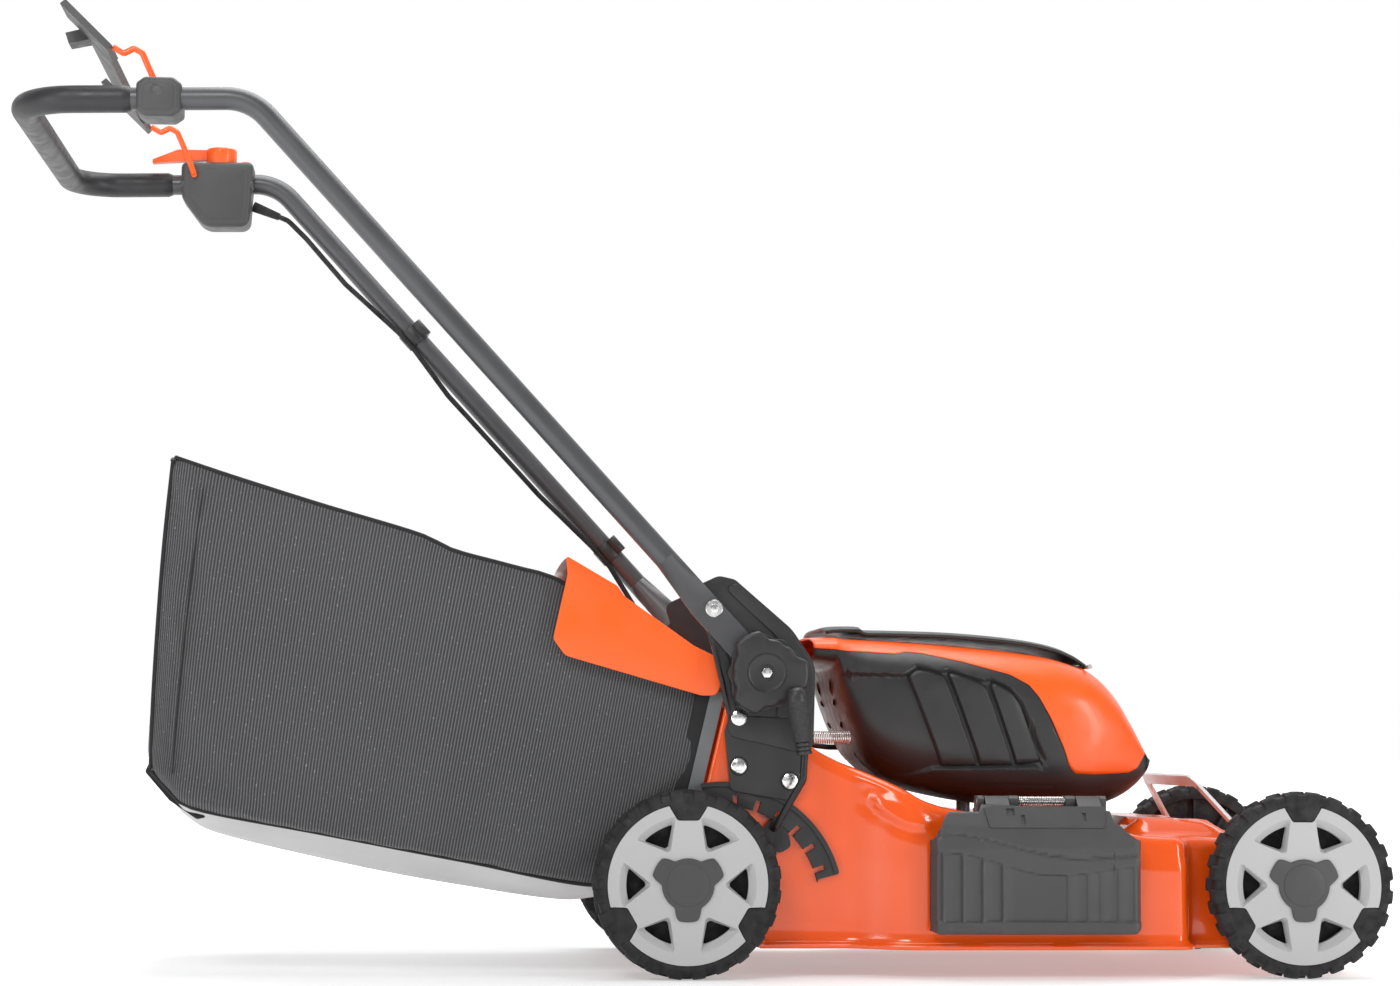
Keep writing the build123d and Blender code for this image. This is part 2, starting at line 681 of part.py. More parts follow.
def handle_sweep(radius, hole, points, bend):
    """A tube along part of the handle's route."""
    with BuildPart() as tube:
        with BuildLine() as route:
            FilletPolyline(*points, radius=bend)
        with BuildSketch(Plane(origin=route.line @ 0, z_dir=route.line % 0)):
            Circle(radius)
            if hole:
                Circle(hole, mode=Mode.SUBTRACT)
        sweep()
    return tube.part


tongue_end = 102.0
round_start = 167.0
corner_point = Vector(rear_x + tube_corner[0], -handle_y, tube_corner[1])
rear_point = Vector(rear_x + crossbar[0], -handle_y, crossbar[1])


def across(point):
    """The same point on the other side of the mower."""
    return Vector(point.X, -point.Y, point.Z)


low_point = on_tube(round_start, 0, -handle_y)
handle_route = [
    low_point, corner_point, rear_point, across(rear_point), across(corner_point), across(low_point),
]
bend_radius = 58.0
with BuildPart() as tongue:
    middle = -(tongue_inner + tongue_outer) / 2
    with BuildSketch(Plane(origin=on_tube(tongue_end, 0, middle), x_dir=(0, 1, 0), z_dir=along)):
        Rectangle(tongue_outer - tongue_inner, 32)
    with BuildSketch(Plane(origin=on_tube(round_start, 0, -handle_y), x_dir=(0, 1, 0), z_dir=along)):
        Circle(tube_radius)
    loft()
    with BuildSketch(Plane(origin=on_tube(-24, 0, middle), x_dir=(0, 1, 0), z_dir=along)):
        Rectangle(tongue_outer - tongue_inner, 32)
    extrude(amount=tongue_end + 24)
    add(disc(handle_pivot, 4 + running_gap, -200, -230), mode=Mode.SUBTRACT)

with BuildPart() as handle_tube:
    add(handle_sweep(tube_radius, tube_radius - tube_wall, handle_route, bend_radius))
    for piece in both_sides(tongue.part):
        add(piece)
finish_piece(handle_tube, "handle_tube")

foam_start = -612.0
slope = (crossbar[1] - tube_corner[1]) / (crossbar[0] - tube_corner[0])
foam_point = Vector(rear_x + foam_start, -handle_y, tube_corner[1] + slope * (foam_start - tube_corner[0]))
with BuildPart() as foam_grip:
    add(handle_sweep(foam_radius, tube_radius + 0.05,
                     [foam_point, rear_point, across(rear_point), across(foam_point)], bend_radius))
finish_piece(foam_grip, "foam_grip")
tube_space = handle_sweep(tube_radius + 0.05, 0, handle_route, bend_radius)

with BuildPart() as handle_bolt_set:
    for piece in both_sides(disc((30.3, 403.2), 9, -tongue_outer, -tongue_outer - 4)):
        add(piece)
finish_piece(handle_bolt_set, "handle_bolts")

with BuildPart() as bail_bracket:
    add(slab([(-606, 936), (-598, 930), (-570, 930), (-557.4, 936), (-557.4, 965), (-566, 972), (-598, 972),
              (-606, 966)], -222, -272))
    chamfer(bail_bracket.faces().sort_by(Axis.Y)[0].edges(), 5)
    add(tube_space, mode=Mode.SUBTRACT)
    add(disc(bail_pivot, 3.5 + running_gap, -220, -236), mode=Mode.SUBTRACT)
    add(disc(bail_pivot, 5, -267, -273), mode=Mode.SUBTRACT)
finish_piece(bail_bracket, "bail_bracket")

control_outline = [(-599.5, 974), (-511.5, 974), (-511.5, 926), (-517, 900), (-524, 894), (-570, 893.6),
                   (-599, 930)]
lever_pivot = (-552.0, 247.0)
button_place = (-521.0, 236.0)
with BuildPart() as control_box:
    add(slab(control_outline, 272, 222, corner=4))
    chamfer(control_box.faces().sort_by(Axis.Y)[-1].edges(), 3)
    add(tube_space, mode=Mode.SUBTRACT)
    add(disc(bail_pivot, 3.5 + running_gap, 236, 220), mode=Mode.SUBTRACT)
    with BuildSketch(plan(966)):
        with Locations(lever_pivot):
            Circle(6 + running_gap)
        with Locations(button_place):
            Circle(6.3)
    extrude(amount=12, mode=Mode.SUBTRACT)
finish_piece(control_box, "control_box")

with BuildPart() as start_lever:
    with BuildSketch(plan(975)):
        with Locations(lever_pivot):
            Circle(19)
    extrude(amount=20)
    fillet(start_lever.faces().sort_by(Axis.Z)[-1].edges(), 3)
    with BuildSketch(plan(966.5)):
        with Locations(lever_pivot):
            Circle(6)
    extrude(amount=10)
    add(slab([(-637, 975.5), (-637, 980), (-606, 993), (-560, 993), (-560, 981), (-590, 979)], 253, 241))
finish_piece(start_lever, "start_lever")

with BuildPart() as start_button:
    with BuildSketch(plan(970)):
        with Locations(button_place):
            Circle(6)
    extrude(amount=7)
    fillet(start_button.faces().sort_by(Axis.Z)[-1].edges(), 1)
finish_piece(start_button, "start_button")

# ---------------------------------------------------------------- bail
wire_y = 217.0
wire_radius = 3.5
wire_side = [(-583.5, 957.6), (-591, 979), (-605, 1010), (-614, 1015), (-625, 1009), (-637, 1016)]
with BuildPart() as bail_wires:
    with BuildLine() as wire_route:
        FilletPolyline(*[(rear_x + x, -wire_y, z) for x, z in wire_side], radius=4)
    with BuildSketch(Plane(origin=wire_route.line @ 0, z_dir=wire_route.line % 0)):
        Circle(wire_radius)
    sweep()
    add(disc(bail_pivot, wire_radius, -wire_y, -234))
    mirror(about=Plane.XZ)
finish_piece(bail_wires, "bail_wires")

with BuildPart() as bail_bar:
    paddle = [(-636.8, 1015), (-688, 1065), (-694, 1060), (-642, 1009.5)]
    for piece in both_sides(slab(paddle, -165, -232)):
        add(piece)
    add(slab([(-640, 1018), (-664, 1041.5), (-669.5, 1036), (-645.5, 1012.5)], 166, -166))
    add(slab([(-664, 1041), (-669, 1036), (-692, 1031), (-696, 1043), (-677, 1048)], -135, -165))
    add(bail_wires.part, mode=Mode.SUBTRACT)
finish_piece(bail_bar, "bail_bar")

# ---------------------------------------------------------------- control cable
cable_radius = 3.2
cable_y = 243.0
gland_start = Vector(rear_x - 511.4, 250, 924)
gland_end = Vector(rear_x - 479, 248, 911)
with BuildPart() as cable_gland:
    gland_axis = (gland_end - gland_start).normalized()
    with BuildSketch(Plane(origin=gland_start, z_dir=gland_axis)):
        Circle(6.5)
    with BuildSketch(Plane(origin=gland_end, z_dir=gland_axis)):
        Circle(4.5)
    loft()
    add(control_box.part, mode=Mode.SUBTRACT)
finish_piece(cable_gland, "cable_gland")

with BuildPart() as control_cable:
    with BuildLine() as cable_route:
        FilletPolyline(
            gland_end, gland_end + gland_axis * 12, Vector(rear_x - 445, 246, 884),
            on_tube(690, 21, cable_y), on_tube(600, 12, cable_y), on_tube(570, 12, cable_y),
            on_tube(500, 19, cable_y), on_tube(330, 18, cable_y),
            on_tube(238, 12, cable_y), on_tube(205, 12, cable_y), on_tube(140, 24, cable_y + 1),
            radius=20,
        )
    with BuildSketch(Plane(origin=cable_route.line @ 0, z_dir=cable_route.line % 0)):
        Circle(cable_radius)
    sweep()
finish_piece(control_cable, "control_cable")
cable_join = cable_route.line @ 1
cable_heading = cable_route.line % 1

with BuildPart() as cable_lower:
    with BuildLine() as lower_route:
        FilletPolyline(
            cable_join, cable_join + cable_heading * 30, Vector(rear_x + 22, 236, 342),
            Vector(rear_x + 34, 230, 300), Vector(rear_x + 58, 222, 264), Vector(rear_x + 100, 219, 258),
            Vector(rear_x + 145, 216, 259), Vector(rear_x + 167, 190, 258), Vector(rear_x + 184, 130, 253),
            Vector(rear_x + 199, 113, 251), Vector(rear_x + 228, 107, 251),
            radius=12,
        )
    with BuildSketch(Plane(origin=lower_route.line @ 0, z_dir=lower_route.line % 0)):
        Circle(cable_radius)
    sweep()
finish_piece(cable_lower, "cable_lower")

with BuildPart() as cable_clips:
    for distance in (574, 209):
        with BuildSketch(Plane(origin=on_tube(distance, 0, handle_y), x_dir=(0, 1, 0), z_dir=along)):
            Circle(tube_radius + 3)
            with Locations((cable_y - handle_y, -12)):
                Circle(6.5)
            with Locations((cable_y - handle_y, 12)):
                Circle(cable_radius + 0.05, mode=Mode.SUBTRACT)
            Circle(tube_radius + 0.05, mode=Mode.SUBTRACT)
        extrude(amount=22)
    add(control_cable.part, mode=Mode.SUBTRACT)
finish_piece(cable_clips, "cable_clips")
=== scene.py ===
"""Looks for the battery lawn mower: covers, wheels, controls, cloth bag and materials, around the CAD frame.

Shapes are worked out in millimetres: x ahead of the rear axle, y to the mower's left, z above the ground.
spot() turns such a point into the frame's metres.
"""

import json
import math

import bmesh
import bpy
import numpy as np
from mathutils import Matrix, Vector, geometry, noise


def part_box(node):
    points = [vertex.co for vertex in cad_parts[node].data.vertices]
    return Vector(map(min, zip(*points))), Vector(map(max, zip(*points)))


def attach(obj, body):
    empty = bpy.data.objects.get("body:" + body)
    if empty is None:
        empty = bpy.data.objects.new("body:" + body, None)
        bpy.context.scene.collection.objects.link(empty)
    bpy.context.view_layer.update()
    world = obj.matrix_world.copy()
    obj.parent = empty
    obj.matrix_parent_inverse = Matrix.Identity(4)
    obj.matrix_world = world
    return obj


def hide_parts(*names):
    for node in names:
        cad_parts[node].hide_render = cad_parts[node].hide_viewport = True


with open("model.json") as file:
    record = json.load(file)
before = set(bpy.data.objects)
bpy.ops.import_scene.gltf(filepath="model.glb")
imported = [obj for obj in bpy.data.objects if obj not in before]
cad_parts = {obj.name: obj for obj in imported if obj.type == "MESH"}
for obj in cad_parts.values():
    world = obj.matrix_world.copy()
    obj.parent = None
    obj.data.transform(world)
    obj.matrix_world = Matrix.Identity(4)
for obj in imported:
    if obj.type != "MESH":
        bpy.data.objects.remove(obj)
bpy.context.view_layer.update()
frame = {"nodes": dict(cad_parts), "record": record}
scene = bpy.context.scene
nodes = frame["nodes"]


def middle(node):
    """The centre of a CAD node's box, in metres."""
    low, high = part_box(node)
    return (low + high) / 2


rear_axle = middle("rear_right_tyre")
front_axle = middle("front_right_tyre")
wheelbase = (front_axle.x - rear_axle.x) * 1000
axle_height = rear_axle.z * 1000


def spot(x, y, z):
    """A point in the frame's metres from millimetres ahead of the rear axle, across and up."""
    return Vector((rear_axle.x + x / 1000, y / 1000, z / 1000))


def ease(low, high, value):
    """0 below low, 1 above high, smooth between."""
    share = min(max((value - low) / (high - low), 0.0), 1.0)
    return share * share * (3 - 2 * share)


# ---------------------------------------------------------------- camera, floor and light
LENS = 77.27
SENSOR_WIDTH = 36.0
CAMERA_PLACE = (-0.27975, -3.518, 0.2565)
CAMERA_TURNS = (4.80, 4.735, 0.29)
FLOOR_REACH = 40.0


def make_camera():
    """The viewpoint: level with the motor, a little behind the middle, looking slightly up."""
    yaw, pitch, roll = (math.radians(turn) for turn in CAMERA_TURNS)
    forward = Vector((math.sin(yaw) * math.cos(pitch), math.cos(yaw) * math.cos(pitch), math.sin(pitch)))
    right = forward.cross(Vector((0, 0, 1))).normalized()
    up = right.cross(forward)
    turned_right = right * math.cos(roll) + up * math.sin(roll)
    turned_up = up * math.cos(roll) - right * math.sin(roll)
    matrix = Matrix.Identity(4)
    for row in range(3):
        matrix[row][0] = turned_right[row]
        matrix[row][1] = turned_up[row]
        matrix[row][2] = -forward[row]
        matrix[row][3] = CAMERA_PLACE[row]
    data = bpy.data.cameras.new("Camera")
    data.sensor_width = SENSOR_WIDTH
    data.lens = LENS
    camera = bpy.data.objects.new("Camera", data)
    camera.matrix_world = matrix
    scene.collection.objects.link(camera)
    scene.camera = camera


def area_light(name, place, target, size, power, shape=(1.0, 1.0)):
    """A soft lamp at a place, facing a target."""
    data = bpy.data.lights.new(name, "AREA")
    data.shape = "RECTANGLE"
    data.size = size * shape[0]
    data.size_y = size * shape[1]
    data.energy = power
    lamp = bpy.data.objects.new(name, data)
    lamp.location = place
    lamp.rotation_euler = (Vector(target) - Vector(place)).to_track_quat("-Z", "Y").to_euler()
    scene.collection.objects.link(lamp)


def make_studio():
    """A surround, white behind the mower and dim round the camera, with four soft lamps and a white floor."""
    world = bpy.data.worlds.new("Studio")
    scene.world = world
    world.use_nodes = True
    tree = world.node_tree
    where = tree.nodes.new("ShaderNodeTexCoord")
    split = tree.nodes.new("ShaderNodeSeparateXYZ")
    ramp = tree.nodes.new("ShaderNodeValToRGB")
    tree.links.new(where.outputs["Generated"], split.inputs[0])
    tree.links.new(split.outputs["Y"], ramp.inputs["Fac"])
    ramp.color_ramp.elements[0].position = 0.10
    ramp.color_ramp.elements[0].color = (0.30, 0.30, 0.305, 1)
    ramp.color_ramp.elements[1].position = 0.62
    ramp.color_ramp.elements[1].color = (1, 1, 1, 1)
    tree.links.new(ramp.outputs["Color"], tree.nodes["Background"].inputs["Color"])
    tree.nodes["Background"].inputs["Strength"].default_value = 1.0
    area_light("Key", (-1.1, -2.4, 2.3), (0.1, 0, 0.3), 0.9, 30)
    area_light("Front_strip", (2.3, -1.9, 0.9), (0.3, 0, 0.2), 0.8, 22, (0.4, 1.8))
    area_light("Rear_strip", (-2.4, -2.0, 0.9), (-0.1, 0, 0.25), 0.8, 12, (0.4, 1.8))
    area_light("Top", (0.1, 0.3, 2.6), (0.1, 0, 0.2), 1.8, 44)
    floor = bpy.data.meshes.new("Floor")
    corners = [(x * FLOOR_REACH, y * FLOOR_REACH, 0) for x, y in ((-1, -1), (1, -1), (1, 1), (-1, 1))]
    floor.from_pydata(corners, [], [(0, 1, 2, 3)])
    ground = bpy.data.objects.new("Floor", floor)
    scene.collection.objects.link(ground)
    floor.materials.append(floor_white())
    scene.view_settings.view_transform = "Standard"


def floor_white():
    """Matt white, lit from within further out so the floor runs into the white surround."""
    white = bpy.data.materials.new("floor_white")
    white.use_nodes = True
    tree = white.node_tree
    shader = tree.nodes["Principled BSDF"]
    shader.inputs["Base Color"].default_value = (0.70, 0.70, 0.70, 1)
    shader.inputs["Roughness"].default_value = 0.6
    shader.inputs["Specular IOR Level"].default_value = 0.1
    shader.inputs["Emission Color"].default_value = (1, 1, 1, 1)
    where = tree.nodes.new("ShaderNodeTexCoord")
    length = tree.nodes.new("ShaderNodeVectorMath")
    length.operation = "LENGTH"
    glow = tree.nodes.new("ShaderNodeMapRange")
    for socket, value in (("From Min", 0.5), ("From Max", 1.7), ("To Min", 0.34), ("To Max", 0.95)):
        glow.inputs[socket].default_value = value
    tree.links.new(where.outputs["Object"], length.inputs[0])
    tree.links.new(length.outputs["Value"], glow.inputs["Value"])
    tree.links.new(glow.outputs["Result"], shader.inputs["Emission Strength"])
    return white


make_camera()
make_studio()


# ---------------------------------------------------------------- materials
class Finish:
    """A procedural material whose colour, roughness and bump are built up layer by layer."""

    def __init__(self, name, colour, roughness, metallic=0.0, coat=0.0, coat_roughness=0.05, specular=0.5,
                 sheen=0.0):
        self.material = bpy.data.materials.new(name)
        self.material.use_nodes = True
        self.tree = self.material.node_tree
        self.shader = self.tree.nodes["Principled BSDF"]
        for socket, value in (
            ("Base Color", (*colour, 1)), ("Roughness", roughness), ("Metallic", metallic), ("Coat Weight",
                                                                                             coat),
            ("Coat Roughness", coat_roughness), ("Specular IOR Level", specular), ("Sheen Weight", sheen),
        ):
            self.shader.inputs[socket].default_value = value
        self.colour = colour
        self.coords = self.node("ShaderNodeTexCoord").outputs["Object"]
        self.height = None

    def node(self, kind, inputs=(), **settings):
        """A new node with its settings; each input is given a value or linked from another node's output."""
        made = self.tree.nodes.new(kind)
        for key, value in settings.items():
            setattr(made, key, value)
        for socket, value in dict(inputs).items():
            if isinstance(value, bpy.types.NodeSocket):
                self.link(value, made.inputs[socket])
            else:
                made.inputs[socket].default_value = value
        return made

    def link(self, output, target):
        self.tree.links.new(output, target)

    def stretched(self, scale, coords=None):
        """The coordinates scaled differently along each axis."""
        inputs = {"Scale": scale, "Vector": coords or self.coords}
        return self.node("ShaderNodeMapping", inputs).outputs["Vector"]

    def noise(self, scale, detail=3.0, coords=None):
        inputs = {"Scale": scale, "Detail": detail, "Vector": coords or self.coords}
        return self.node("ShaderNodeTexNoise", inputs).outputs["Fac"]

    def cells(self, scale, coords=None):
        inputs = {"Scale": scale, "Vector": coords or self.coords}
        return self.node("ShaderNodeTexVoronoi", inputs).outputs["Distance"]

    def bands(self, scale, direction, coords):
        inputs = {"Scale": scale, "Vector": coords}
        made = self.node("ShaderNodeTexWave", inputs, wave_type="BANDS", bands_direction=direction)
        return made.outputs["Fac"]

    def spread(self, value, low, high, start=0.35, stop=0.65):
        """The stretch of a value from start to stop, mapped to low-high."""
        inputs = {"Value": value, "From Min": start, "From Max": stop, "To Min": low, "To Max": high}
        return self.node("ShaderNodeMapRange", inputs).outputs["Result"]

    def maths(self, operation, first, second):
        return self.node("ShaderNodeMath", {0: first, 1: second}, operation=operation).outputs[0]

    def tint(self, share, other):
        """Mixes another colour into the base colour by a 0-1 value."""
        mix = self.node("ShaderNodeMix", data_type="RGBA")
        target = self.shader.inputs["Base Color"]
        if target.is_linked:
            self.link(target.links[0].from_socket, mix.inputs["A"])
        else:
            mix.inputs["A"].default_value = target.default_value
        mix.inputs["B"].default_value = (*other, 1)
        self.link(share, mix.inputs["Factor"])
        self.link(mix.outputs["Result"], target)
        return self

    def shade(self, value, depth):
        """Lightens and darkens the base colour by a noise value, as moulding and dust do."""
        lighter = tuple(min(1.0, channel * (1 + depth)) for channel in self.colour)
        darker = tuple(channel * (1 - depth) for channel in self.colour)
        self.tint(self.spread(value, 0.0, 1.0, 0.5, 0.75), lighter)
        self.tint(self.spread(value, 1.0, 0.0, 0.25, 0.5), darker)
        return self

    def rough(self, value, low, high):
        self.link(self.spread(value, low, high), self.shader.inputs["Roughness"])
        return self

    def bump(self, value, distance, strength=0.6):
        inputs = {"Distance": distance, "Strength": strength, "Height": value}
        if self.height is not None:
            inputs["Normal"] = self.height
        self.height = self.node("ShaderNodeBump", inputs).outputs["Normal"]
        self.link(self.height, self.shader.inputs["Normal"])
        return self


def enamel(name, colour, roughness, peel, coat):
    """Glossy paint with a little orange peel."""
    made = Finish(name, colour, roughness, coat=coat, coat_roughness=0.04)
    made.shade(made.noise(9, 2), 0.02)
    made.rough(made.noise(40, 4), roughness * 0.8, roughness * 1.25)
    made.bump(made.noise(peel, 2), 0.0004, 0.12)
    return made


def moulded(name, colour, roughness, grain=1400.0, depth=0.00012, shading=0.08):
    """Plastic with a fine moulded grain."""
    made = Finish(name, colour, roughness, specular=0.45)
    made.shade(made.noise(14, 4), shading)
    made.rough(made.noise(60, 3), roughness * 0.85, roughness * 1.15)
    made.bump(made.cells(grain), depth, 0.5)
    made.bump(made.noise(grain / 3, 3), depth, 0.35)
    return made


def metal(name, colour, roughness, stretch=(30, 400, 400)):
    """Bare metal with a fine grain, longest along the axis with the smallest stretch."""
    made = Finish(name, colour, roughness, metallic=1.0)
    brushed = made.noise(1.0, 4, made.stretched(stretch))
    made.shade(brushed, 0.10)
    made.rough(brushed, roughness * 0.7, roughness * 1.4)
    made.bump(brushed, 0.00008, 0.25)
    return made


def coated(name, colour, roughness, metallic=0.25):
    """Powder coat: satin with faint clouding."""
    made = Finish(name, colour, roughness, metallic=metallic, specular=0.55)
    made.shade(made.noise(12, 3), 0.06)
    made.rough(made.noise(20, 3), roughness * 0.85, roughness * 1.2)
    return made


def rubber(name, colour, roughness, scuff):
    """Rubber with pale scuffs."""
    made = Finish(name, colour, roughness, specular=0.35)
    made.shade(made.noise(25, 5), 0.18)
    made.tint(made.spread(made.noise(70, 6), 0.0, scuff, 0.52, 0.72), tuple(c * 2.6 for c in colour))
    made.rough(made.noise(80, 4), roughness * 0.85, 0.95)
    made.bump(made.noise(500, 4), 0.0003, 0.5)
    return made


def pebbled(name, colour):
    """Grip rubber with the raised, leathery cells of a moulded texture."""
    made = Finish(name, colour, 0.55, specular=0.4)
    cells = made.cells(620, made.stretched((1, 1, 0.6)))
    made.tint(made.spread(cells, 0.6, 0.0, 0.1, 0.5), tuple(c * 1.7 for c in colour))
    made.bump(cells, 0.0011, 0.9)
    return made


def woven(name, colour, light, thread_mm=3.2, fleck=0.3):
    """Bag mesh: close upright ribs, finer cross threads, and pale flecks where the knit shows through."""
    made = Finish(name, colour, 0.85, specular=0.2, sheen=0.25)
    flat = made.node("ShaderNodeUVMap", uv_map="Cut").outputs["UV"]
    ribs = math.tau / 20 / (thread_mm / 1000)
    warp = made.bands(ribs, "X", flat)
    weft = made.bands(ribs * 1.8, "Y", flat)
    knit = made.maths("MULTIPLY", warp, weft)
    made.shade(made.noise(5, 4), 0.16)
    made.tint(made.spread(warp, 0.0, 0.75, 0.35, 0.95), light)
    flecks = made.noise(1.0, 3, made.stretched((330, 260, 1), flat))
    sparse = made.maths("MULTIPLY", made.spread(flecks, 0.0, 1.0, 0.63, 0.72),
                        made.spread(warp, 0.1, 1.0, 0.3, 0.8))
    made.tint(made.maths("MULTIPLY", sparse, fleck), (0.62, 0.62, 0.62))
    made.bump(knit, 0.0007, 0.7)
    made.bump(made.noise(22, 3), 0.004, 0.25)
    return made


def coated_cloth(name, colour):
    """Smooth coated cloth with soft waves."""
    made = Finish(name, colour, 0.6, specular=0.3)
    made.shade(made.noise(7, 4), 0.12)
    made.bump(made.noise(900, 2), 0.0003, 0.5)
    made.bump(made.noise(14, 3), 0.006, 0.35)
    return made


def board(name, colour):
    """A circuit board with a mottled face."""
    made = Finish(name, colour, 0.4)
    made.shade(made.cells(90), 0.4)
    made.bump(made.cells(90), 0.0004, 0.4)
    return made


FINISHES = {
    "deck_orange": enamel("deck_enamel", (0.86, 0.095, 0.006), 0.18, 60, 0.35),
    "cover_orange": enamel("cover_gloss", (0.95, 0.115, 0.008), 0.36, 160, 0.08),
    "dark_plastic": moulded("charcoal_plastic", (0.026, 0.026, 0.027), 0.40),
    "grey_plastic": moulded("grey_plastic", (0.060, 0.060, 0.061), 0.48),
    "rim_grey": moulded("rim_silver", (0.45, 0.45, 0.45), 0.38, shading=0.02),
    "tyre_black": rubber("tyre_rubber", (0.017, 0.017, 0.018), 0.62, 0.3),
    "tube_dark": coated("tube_powder_coat", (0.075, 0.076, 0.080), 0.34),
    "foam_black": moulded("foam_sleeve", (0.024, 0.024, 0.026), 0.45, 700, 0.00004),
    "grip_rubber": pebbled("grip_pebble", (0.030, 0.030, 0.031)),
    "zinc": metal("zinc_plate", (0.80, 0.80, 0.79), 0.22, (300, 300, 300)),
    "steel": metal("bright_steel", (0.62, 0.62, 0.62), 0.28),
    "black_steel": coated("black_coated_steel", (0.014, 0.014, 0.016), 0.30),
    "hoop_alu": coated("satin_aluminium", (0.66, 0.66, 0.67), 0.42, 0.35),
    "bag_mesh": woven("bag_weave", (0.040, 0.040, 0.042), (0.17, 0.17, 0.175)),
    "bag_liner": coated_cloth("bag_base_cloth", (0.58, 0.58, 0.58)),
    "bag_frame_grey": moulded("frame_grey_plastic", (0.14, 0.145, 0.15), 0.48),
    "wire_orange": enamel("wire_coating", (0.92, 0.11, 0.010), 0.28, 300, 0.2),
    "cable_black": rubber("cable_sheath", (0.014, 0.014, 0.015), 0.45, 0.1),
    "board_green": board("circuit_board", (0.02, 0.16, 0.05)),
    "motor_steel": metal("motor_iron", (0.30, 0.30, 0.31), 0.5, (200, 200, 200)),
}
PIPING = coated_cloth("black_piping", (0.014, 0.014, 0.015))

for part in frame["record"]["subparts"]:
    node = nodes[part["node"]]
    node.data.materials.clear()
    node.data.materials.append(FINISHES[part["material_slot"]].material)


def soften(width, *names):
    """Rounds the sharp edges of CAD nodes as moulding and stamping do."""
    for name in names:
        weld = nodes[name].modifiers.new("Weld", "WELD")
        weld.merge_threshold = 0.00002
        bevel = nodes[name].modifiers.new("Edges", "BEVEL")
        bevel.width = width / 1000
        bevel.segments = 2
        bevel.angle_limit = math.radians(38)
        bevel.harden_normals = True
        bevel.use_clamp_overlap = True


# ---------------------------------------------------------------- outlines and shapes
def filled(path, step, closed):
    """The same path with points no further apart than step."""
    dense = []
    count = len(path)
    for place in range(count if closed else count - 1):
        here, there = path[place], path[(place + 1) % count]
        parts = max(1, math.ceil((there - here).length / step))
        dense += [here.lerp(there, part / parts) for part in range(parts)]
    return dense if closed else dense + [path[-1]]


def rounded(corners, radii, closed=True, step=6.0, arc=7):
    """Points along straight runs joined by arcs."""
    count = len(corners)
    radii = list(radii) if hasattr(radii, "__len__") else [radii] * count
    path = []
    for place, corner in enumerate(corners):
        here = Vector(corner)
        if not closed and place in (0, count - 1):
            path.append(here)
            continue
        back, ahead = Vector(corners[place - 1]) - here, Vector(corners[(place + 1) % count]) - here
        turn = back.angle(ahead)
        room = 0.49 * min(back.length, ahead.length)
        reach = min(radii[place] / math.tan(turn / 2), room) if turn < 3.1 else 0
        radius = reach * math.tan(turn / 2)
        if radius < 0.05:
            path.append(here)
            continue
        centre = here + (back.normalized() + ahead.normalized()).normalized() * (radius / math.sin(turn / 2))
        first, last = here + back.normalized() * reach - centre, here + ahead.normalized() * reach - centre
        swing = first.angle(last)
        for part in range(arc + 1):
            share = part / arc
            mixed = first * math.sin((1 - share) * swing) + last * math.sin(share * swing)
            path.append(centre + mixed / math.sin(swing))
    return filled(path, step, closed) if step else path


def flowing(points, count):
    """Evenly spaced points on a smooth curve through the given ones."""
    knots = np.array(points, float)
    padded = np.vstack([2 * knots[0] - knots[1], knots, 2 * knots[-1] - knots[-2]])
    dense = []
    for place in range(len(knots) - 1):
        a, b, c, d = padded[place: place + 4]
        for share in np.linspace(0, 1, 24, endpoint=False):
            dense.append(0.5 * (2 * b + (c - a) * share + (2 * a - 5 * b + 4 * c - d) * share**2
                                + (3 * b - a - 3 * c + d) * share**3))
    dense = np.vstack([dense, knots[-1:]])
    travel = np.concatenate([[0], np.cumsum(np.linalg.norm(np.diff(dense, axis=0), axis=1))])
    places = np.linspace(0, travel[-1], count)
    return np.column_stack([np.interp(places, travel, dense[:, axis]) for axis in range(dense.shape[1])])


def inset(path, amount):
    """A closed flat outline moved inwards."""
    area = sum(a.x * b.y - b.x * a.y for a, b in zip(path, path[1:] + path[:1]))
    sign = 1 if area > 0 else -1
    moved = []
    for place, here in enumerate(path):
        first = (here - path[place - 1]).normalized()
        second = (path[(place + 1) % len(path)] - here).normalized()
        one, two = Vector((-first.y, first.x)) * sign, Vector((-second.y, second.x)) * sign
        mean = (one + two).normalized()
        moved.append(here + mean * (amount / max(mean.dot(one), 0.4)))
    return moved


def polar(radius, degrees, centre):
    """A point of a side outline at a distance and angle from a centre."""
    angle = math.radians(degrees)
    return Vector((centre[0] + radius * math.cos(angle), centre[1] + radius * math.sin(angle)))


def lobe_distance(degrees, lobes):
    """How many degrees away the nearest of several directions is."""
    return min(abs((degrees - lobe + 180) % 360 - 180) for lobe in lobes)


def placed(outline, y):
    """A side outline placed at a distance from the centre plane."""
    return [(point[0], y, point[1]) for point in outline]


